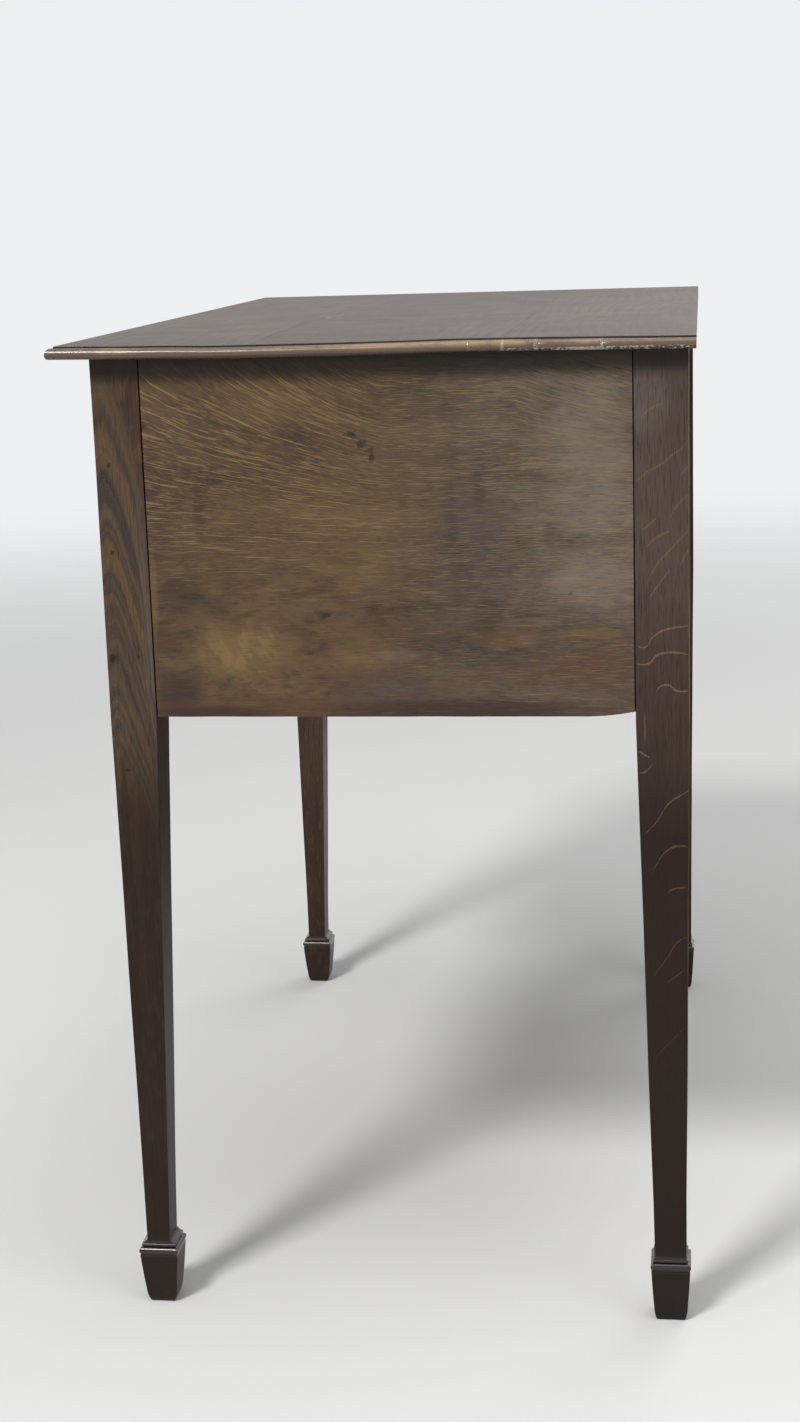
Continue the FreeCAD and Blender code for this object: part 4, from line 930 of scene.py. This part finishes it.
def settlePiece(thing, body, finish, replaced, angle=35.0):
    makeActive(thing)
    bpy.ops.object.shade_smooth_by_angle(angle=math.radians(angle))
    weighted = thing.modifiers.new("weighted", "WEIGHTED_NORMAL")           # keeps the broad faces flat
    weighted.keep_sharp = True
    bpy.ops.object.modifier_apply(modifier=weighted.name)
    dress(thing, finishes[finish])
    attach(thing, body)
    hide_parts(replaced)


# the top's boards

def alongTable(table, place):        # a smooth value between the table's steps
    for (low, first), (high, last) in zip(table, table[1:]):
        if place <= high:
            return first + (last - first) * smoothStep(place, low, high)
    return table[-1][1]


def makeTopBoard(where, lowY, highY):
    shape = topShape
    endX, frontY, noseTop, under = (shape[key] for key in ("endX", "frontY", "noseTop", "under"))
    flatX, flatY = endX - shape["noseReach"], frontY + shape["noseReach"]
    grooveX, grooveY = flatX + shape["quirk"], flatY - shape["quirk"]
    board = addBlock("topBoard" + where, (-endX, lowY, under), (endX, highY, noseTop))
    openForEditing(board)
    for level, rounding in ((noseTop, shape["upperRound"]), (under, shape["lowerRound"])):
        pick(board, "edges", lambda edge: bothAt(edge, 2, level) and (
            bothAt(edge, 0, endX) or bothAt(edge, 0, -endX) or bothAt(edge, 1, frontY)))
        bevelPicked(*rounding)
    cutAcross(0, (-grooveX, -flatX, flatX, grooveX))
    if near(lowY, frontY):
        cutAcross(1, (grooveY, flatY))

    def onTop(face, reachX, fromY):                       # a face of the upper side, inside these limits
        place = face.calc_center_median()
        return face.normal.z > 0.9 and abs(place.x) < reachX and place.y > fromY

    pick(board, "faces", lambda face: onTop(face, grooveX, grooveY) and not onTop(face, flatX, flatY))
    drawOut((0, 0, -shape["quirk"]))
    pick(board, "faces", lambda face: onTop(face, flatX, flatY))
    drawOut((0, 0, shape["stepHeight"]))
    pick(board, "edges", lambda edge: bothAt(edge, 2, noseTop + shape["stepHeight"]))
    bevelPicked(*shape["stepRound"])
    pick(board, "edges", lambda edge: bothAt(edge, 2, under) and (
        bothAt(edge, 1, lowY) or bothAt(edge, 1, highY)))
    bevelPicked(*shape["underRound"])
    cutAcross(1, evenly(lowY, highY, max(2, round((highY - lowY) / shape["ringSpacing"]))))
    cutAcross(0, [side * place for side in (-1, 1) for place in shape["ringsAlong"]])
    chips = [chip[:3] for chip in shape["chips"] if lowY < chip[0] < highY]
    wornX, wornY, wornZ = grooveX + shape["wearOut"], grooveY - shape["wearOut"], noseTop - shape["wearDown"]
    for place, reach, _ in chips:
        cutAcross(1, [place + reach * share for share in shape["chipRings"]])
    closeEditing()
    for corner in board.data.vertices:
        x, y, z = corner.co
        corner.co.z -= alongTable(shape["droop"], y) * smoothStep(x, shape["droopFrom"], endX)
        if z > shape["thinnedAbove"]:
            thinned = smoothStep(y, *shape["thinnedY"]) * smoothStep(x, shape["thinnedX"], endX)
            corner.co.z -= shape["thinned"] * thinned
        worn = noise.noise((x * 9.0, y * 42.0, 3.0)) * 0.5 + noise.noise((x * 30.0, y * 120.0, 7.0)) * 0.5
        if abs(x) > wornX and z < wornZ:
            corner.co.x -= math.copysign(shape["wear"] * max(0.0, 0.5 + worn), x)
            for place, reach, depth in chips:
                if x > 0 and abs(y - place) < reach * shape["chipReach"]:
                    corner.co.x -= depth * (0.7 + 0.3 * noise.noise((y * 900.0, z * 900.0, 2.0)))
        if y < wornY and z < wornZ:
            corner.co.y += shape["wear"] * max(0.0, 0.5 + noise.noise((x * 42.0, 1.0, 5.0)))
    settlePiece(board, "carcase", "top" + where, "top_board_" + where.lower())


boardEdges = [topShape["frontY"], *topShape["joints"], topShape["backY"]]
for where, lowY, highY in zip(("Front", "Middle", "Back"), boardEdges, boardEdges[1:]):
    makeTopBoard(where, lowY, highY)
print("top boards made")


# legs with spade feet

legShape = {
    "top": 0.711, "taperStart": 0.452, "neckLevel": 0.0515, "outerX": 0.372, "thick": 0.037,
    "outerTaper": 0.003, "neckThick": 0.024, "arris": (0.0006, 2), "rings": (0.09, 0.6692, 16),
    # the leg's outer face along Y, and the way from it towards the middle of the piece
    "front": {"face": -0.194, "way": 1, "width": 0.034, "neck": 0.0175, "foot": 0.03, "toe": 0.0035,
              "sole": 0.0058},
    "back": {"face": 0.216, "way": -1, "width": 0.037, "neck": 0.023, "foot": 0.0296, "toe": 0.0026,
             "sole": 0.0042},
    # the foot: levels above the floor, and insets from its widest part
    "shoulder": 0.0485, "collar": 0.0467, "quirk": 0.0457, "collarInset": 0.002, "quirkInset": 0.0033,
    "collarRound": ((0.0, 0.0008), (0.0002, 0.0002), (0.0006, 0.0)),          # down and in
    "beadRadius": 0.0029, "beadAngles": (90, -60, -18), "grooveHeight": 0.0003, "grooveInset": 0.0012,
    "bodyInset": 0.0006, "bodyDrop": 0.0004, "swell": 0.28, "toeLevel": 0.0092, "toeCurve": 1.7,
    "soleArris": 0.0004, "bodyRings": (0.25, 0.5, 0.75, 1.0), "toeRings": (0.35, 0.65, 0.86),
    "wear": 0.00022, "wearSpan": (0.052, 0.7), "wearLoss": 0.8,
}


def footRows(foot):                  # level above the floor, and how far in from the widest part
    shape = legShape
    radius, body, toe, sole = shape["beadRadius"], shape["bodyInset"], foot["toe"], foot["sole"]
    collar, quirk = shape["collarInset"], shape["quirkInset"]
    middle = shape["quirk"] - radius
    top = middle - radius                                 # the body's top, under the small groove
    rows = [(shape["shoulder"] - down, collar + inward) for down, inward in shape["collarRound"]]
    rows += [(shape["collar"], collar), (shape["collar"], quirk), (shape["quirk"], quirk)]
    for angle in range(*shape["beadAngles"]):
        turned = math.radians(angle)
        rows.append((middle + radius * math.sin(turned), radius * (1 - math.cos(turned))))
    rows += [(top + shape["grooveHeight"], shape["grooveInset"]), (top, shape["grooveInset"]),
             (top - shape["bodyDrop"], body)]
    for share in shape["bodyRings"]:                      # the sides swell a little on the way down
        swollen = share * (1 - shape["swell"]) + share * share * shape["swell"]
        rows.append((top + (shape["toeLevel"] - top) * share, body + (toe - body) * swollen))
    for share in shape["toeRings"]:
        rows.append((shape["toeLevel"] * (1 - share), toe + (sole - toe) * share ** shape["toeCurve"]))
    return rows + [(0.0, sole + shape["soleArris"])]


def makeLeg(side, row):
    shape, foot = legShape, legShape[row]
    face, way = foot["face"], foot["way"]
    spanX = sorted((side * shape["outerX"], side * (shape["outerX"] - shape["thick"])))
    spanY = sorted((face, face + way * foot["width"]))
    sideName = "left" if side < 0 else "right"
    name = "leg" + row.capitalize() + sideName.capitalize()
    leg = addBlock(name, (spanX[0], spanY[0], shape["taperStart"]), (spanX[1], spanY[1], shape["top"]))
    centre = Vector((side * (shape["outerX"] - shape["outerTaper"] - shape["neckThick"] / 2),
                     face + way * (shape["outerTaper"] + foot["neck"] / 2), 0.0))
    openForEditing(leg)
    pick(leg, "faces", lambda face: face.normal.z < -0.9)
    start = Vector((sum(spanX) / 2, sum(spanY) / 2, shape["taperStart"]))
    now = [start, shape["thick"], foot["width"]]

    def drawDown(level, widthX, widthY):                  # the next ring down the leg
        place = Vector((centre.x, centre.y, level))
        drawOut(place - now[0])
        scaleRing((widthX / now[1], widthY / now[2], 1.0), place)
        now[:] = [place, widthX, widthY]

    drawDown(shape["neckLevel"], shape["neckThick"], foot["neck"])
    for level, inset in footRows(foot):
        drawDown(level, foot["foot"] - 2 * inset, foot["foot"] - 2 * inset)
    pick(leg, "edges", lambda edge: abs((edge.verts[0].co - edge.verts[1].co).normalized().z) > 0.3)
    bevelPicked(*shape["arris"])
    low, high, steps = shape["rings"]
    cutAcross(2, [low, *evenly(low, high, steps), high])
    closeEditing()
    for corner in leg.data.vertices:
        x, y, z = corner.co
        if shape["wearSpan"][0] < z < shape["wearSpan"][1]:
            worn = noise.noise((x * 3.0 + side, y * 3.0, z * 14.0))
            worn += 0.5 * noise.noise((x * 60.0, y * 60.0, z * 45.0))
            middle = centre.lerp(start, smoothStep(z, shape["neckLevel"], shape["taperStart"]))
            out = shape["wear"] * (worn - shape["wearLoss"])
            corner.co.x += out * math.copysign(1, x - middle.x)
            corner.co.y += out * math.copysign(1, y - middle.y)
    settlePiece(leg, "carcase", name, f"leg_{row}_{sideName}")


for side in (-1, 1):
    for row in ("front", "back"):
        makeLeg(side, row)
print("legs made")


# end panels

panelShape = {
    "inX": 0.3554, "outX": 0.3714, "frontY": -0.1595, "backY": 0.1785, "low": 0.457, "top": 0.711,
    "arris": (0.0005, 2), "hollow": 0.0003, "wander": 0.0002, "rings": 32, "levels": (0.457, 0.697, 15),
    "skin": 0.0008, "hollowPower": 8,
    "curlFrom": 0.146, "curl": 0.0034, "curlFade": 0.05,  # the right panel's low edge climbs at the back
}


def makeEndPanel(side, sideName):
    shape = panelShape
    frontY, backY, low, outX = (shape[key] for key in ("frontY", "backY", "low", "outX"))
    spanX = sorted((side * shape["inX"], side * outX))
    panel = addBlock("endPanel" + sideName, (spanX[0], frontY, low), (spanX[1], backY, shape["top"]))
    openForEditing(panel)
    pick(panel, "edges", lambda edge: not bothAt(edge, 2, shape["top"]))
    bevelPicked(*shape["arris"])
    cutAcross(1, evenly(frontY, backY, shape["rings"]))
    cutAcross(2, evenly(*shape["levels"]))
    closeEditing()
    for corner in panel.data.vertices:
        x, y, z = corner.co
        off = (y - (frontY + backY) / 2) / ((backY - frontY) / 2)
        climb = max(0.0, (y - shape["curlFrom"]) / (backY - shape["curlFrom"])) if side > 0 else 0.0
        lift = shape["curl"] * climb * climb + shape["wander"] * (0.7 + noise.noise((1.0, y * 40.0, side)))
        corner.co.z += lift * (1 - smoothStep(z, low, low + shape["curlFade"]))
        if abs(x) > outX - shape["skin"]:
            dent = 0.5 + noise.noise((side * 5.0, y * 9.0, z * 12.0))
            corner.co.x -= side * shape["hollow"] * dent * (1 - abs(off) ** shape["hollowPower"])
    settlePiece(panel, "carcase", "panel" + sideName, "end_panel_" + sideName.lower())


makeEndPanel(-1, "Left")
makeEndPanel(1, "Right")
print("end panels made")


# turned plates and posts, bent bails

def makeTurned(name, x, z, rows, sides):
    # a lathe-turned piece that stands out from the drawer, made by extruding ring after ring
    face = handleShape["face"]
    (root, radius), (level, width) = rows[:2]
    clearSelection()
    bpy.ops.mesh.primitive_cylinder_add(vertices=sides, radius=radius, depth=level - root,
                                        location=(x, face - (root + level) / 2, z),
                                        rotation=(math.pi / 2, 0, 0))
    piece = keepNew(name)
    openForEditing(piece)
    pick(piece, "faces", lambda face: face.normal.y < -0.9)
    scaleRing((width / radius, 1.0, width / radius), (x, face - level, z))
    for out, wider in rows[2:]:
        drawOut((0, level - out, 0))
        scaleRing((wider / width, 1.0, wider / width), (x, face - out, z))
        level, width = out, wider
    closeEditing()
    return piece


def heading(angle, length):          # a step of this length, at an angle in degrees
    return Vector((math.cos(math.radians(angle)), math.sin(math.radians(angle)))) * length


def ballRows():
    shape = handleShape
    middle, radius = shape["face"] - shape["axisY"], shape["ballRadius"]
    spots = [heading(angle, radius) for angle in range(*shape["ballAngles"])]
    return [(middle + spot.y, spot.x) for spot in spots] + [(middle + radius, shape["ballTip"])]


def bailPath():                      # the wire's middle line from pin to pin: x, z and thickness
    shape = handleShape
    root, pin = shape["pinRoot"], shape["pinRadius"]
    places = [(shape["pinTip"], 0.0, pin), (root - shape["rootArris"], 0.0, pin),
              (root, 0.0, shape["rootRadius"])]
    spot, angle, way = Vector((root, 0.0)), -90.0, 1
    for radius, turned, thick in shape["bends"]:
        angle, way = angle + 180.0, -way                  # each bend turns the other way
        centre = spot - heading(angle, radius)
        steps = max(4, round(turned / shape["bendStep"]))
        for step in range(1, steps + 1):
            spot = centre + heading(angle + way * turned * step / steps, radius)
            places.append((spot.x, spot.y, thick))
        angle += way * turned
    places += [(x, spot.y, thick) for x, thick in shape["bar"]]
    return places + [(-x, z, thick) for x, z, thick in reversed(places)]


def makeBail(name, middle, level):
    path = [(Vector((middle + x, handleShape["axisY"], level + z)), thick) for x, z, thick in bailPath()]
    clearSelection()
    bpy.ops.mesh.primitive_circle_add(vertices=handleShape["wireSides"], radius=path[0][1], fill_type="NGON",
                                      location=path[0][0], rotation=(0, math.pi / 2, 0))
    bail = keepNew(name)
    openForEditing(bail)
    bpy.ops.mesh.select_all(action="SELECT")
    facing = Vector((1, 0, 0))
    for (before, lastThick), (here, thick), (after, _) in zip(path, path[1:], path[2:] + path[-1:]):
        drawOut(here - before)
        ahead = ((here - before).normalized() + (after - here).normalized()).normalized()
        turn = math.atan2(facing.cross(ahead).y, facing.dot(ahead))
        bpy.ops.transform.rotate(value=-turn, orient_axis="Y", center_override=here)
        scaleRing((thick / lastThick,) * 3, here)
        facing = ahead
    bpy.ops.mesh.select_all(action="SELECT")
    bpy.ops.mesh.normals_make_consistent(inside=False)
    closeEditing()
    return bail


def copyAcross(thing, shift):
    twin = thing.copy()
    twin.data = thing.data.copy()
    bpy.context.scene.collection.objects.link(twin)
    twin.data.transform(Matrix.Translation(shift))
    return twin


def makeHandles(drawer, middles, level):
    shape = handleShape
    places = [middle + side * shape["centres"] / 2 for middle in middles for side in (-1, 1)]
    turned = {"plates": (shape["plateRows"], shape["plateSides"]),
              "posts": (shape["neckRows"] + ballRows(), shape["postSides"])}
    for kind, (rows, sides) in turned.items():
        piece = makeTurned(drawer + kind.capitalize(), places[0], level, rows, sides)
        copies = [copyAcross(piece, (place - places[0], 0, 0)) for place in places[1:]]
        makeActive(piece)
        for twin in copies:
            twin.select_set(True)
        bpy.ops.object.join()
        settlePiece(piece, drawer + "_drawer", "brass", f"{drawer}_drawer_{kind}", angle=50.0)
    for middle in middles:
        sideName = "" if len(middles) == 1 else "_left" if middle < 0 else "_right"
        bail = makeBail(drawer + "Bail" + sideName[1:].capitalize(), middle, level)
        body, node = drawer + "_bail" + sideName, drawer + "_drawer_bail" + sideName
        settlePiece(bail, body, "brass", node, angle=60.0)


for drawer, (middles, level) in handleShape["drawers"].items():
    makeHandles(drawer, middles, level)
print("handles made")


# soft arrises on the carried-over pieces

softArris = {
    "width": 0.0004, "segments": 2, "sharpFrom": 40.0, "weld": 0.00001,
    "nodes": ("mid_rail", "top_rail", "apron", "muntin_left", "muntin_right", "bottom_rail_left",
              "bottom_rail_right", "back_board"),
}


def soften(thing, look):
    thing.modifiers.new("weld", "WELD").merge_threshold = look["weld"]
    bevel = thing.modifiers.new("arris", "BEVEL")
    bevel.width, bevel.segments, bevel.limit_method = look["width"], look["segments"], "ANGLE"
    bevel.angle_limit = math.radians(look["sharpFrom"])
    bevel.harden_normals = True


for nodeName in softArris["nodes"]:
    soften(nodes[nodeName], softArris)
print("arrises softened")
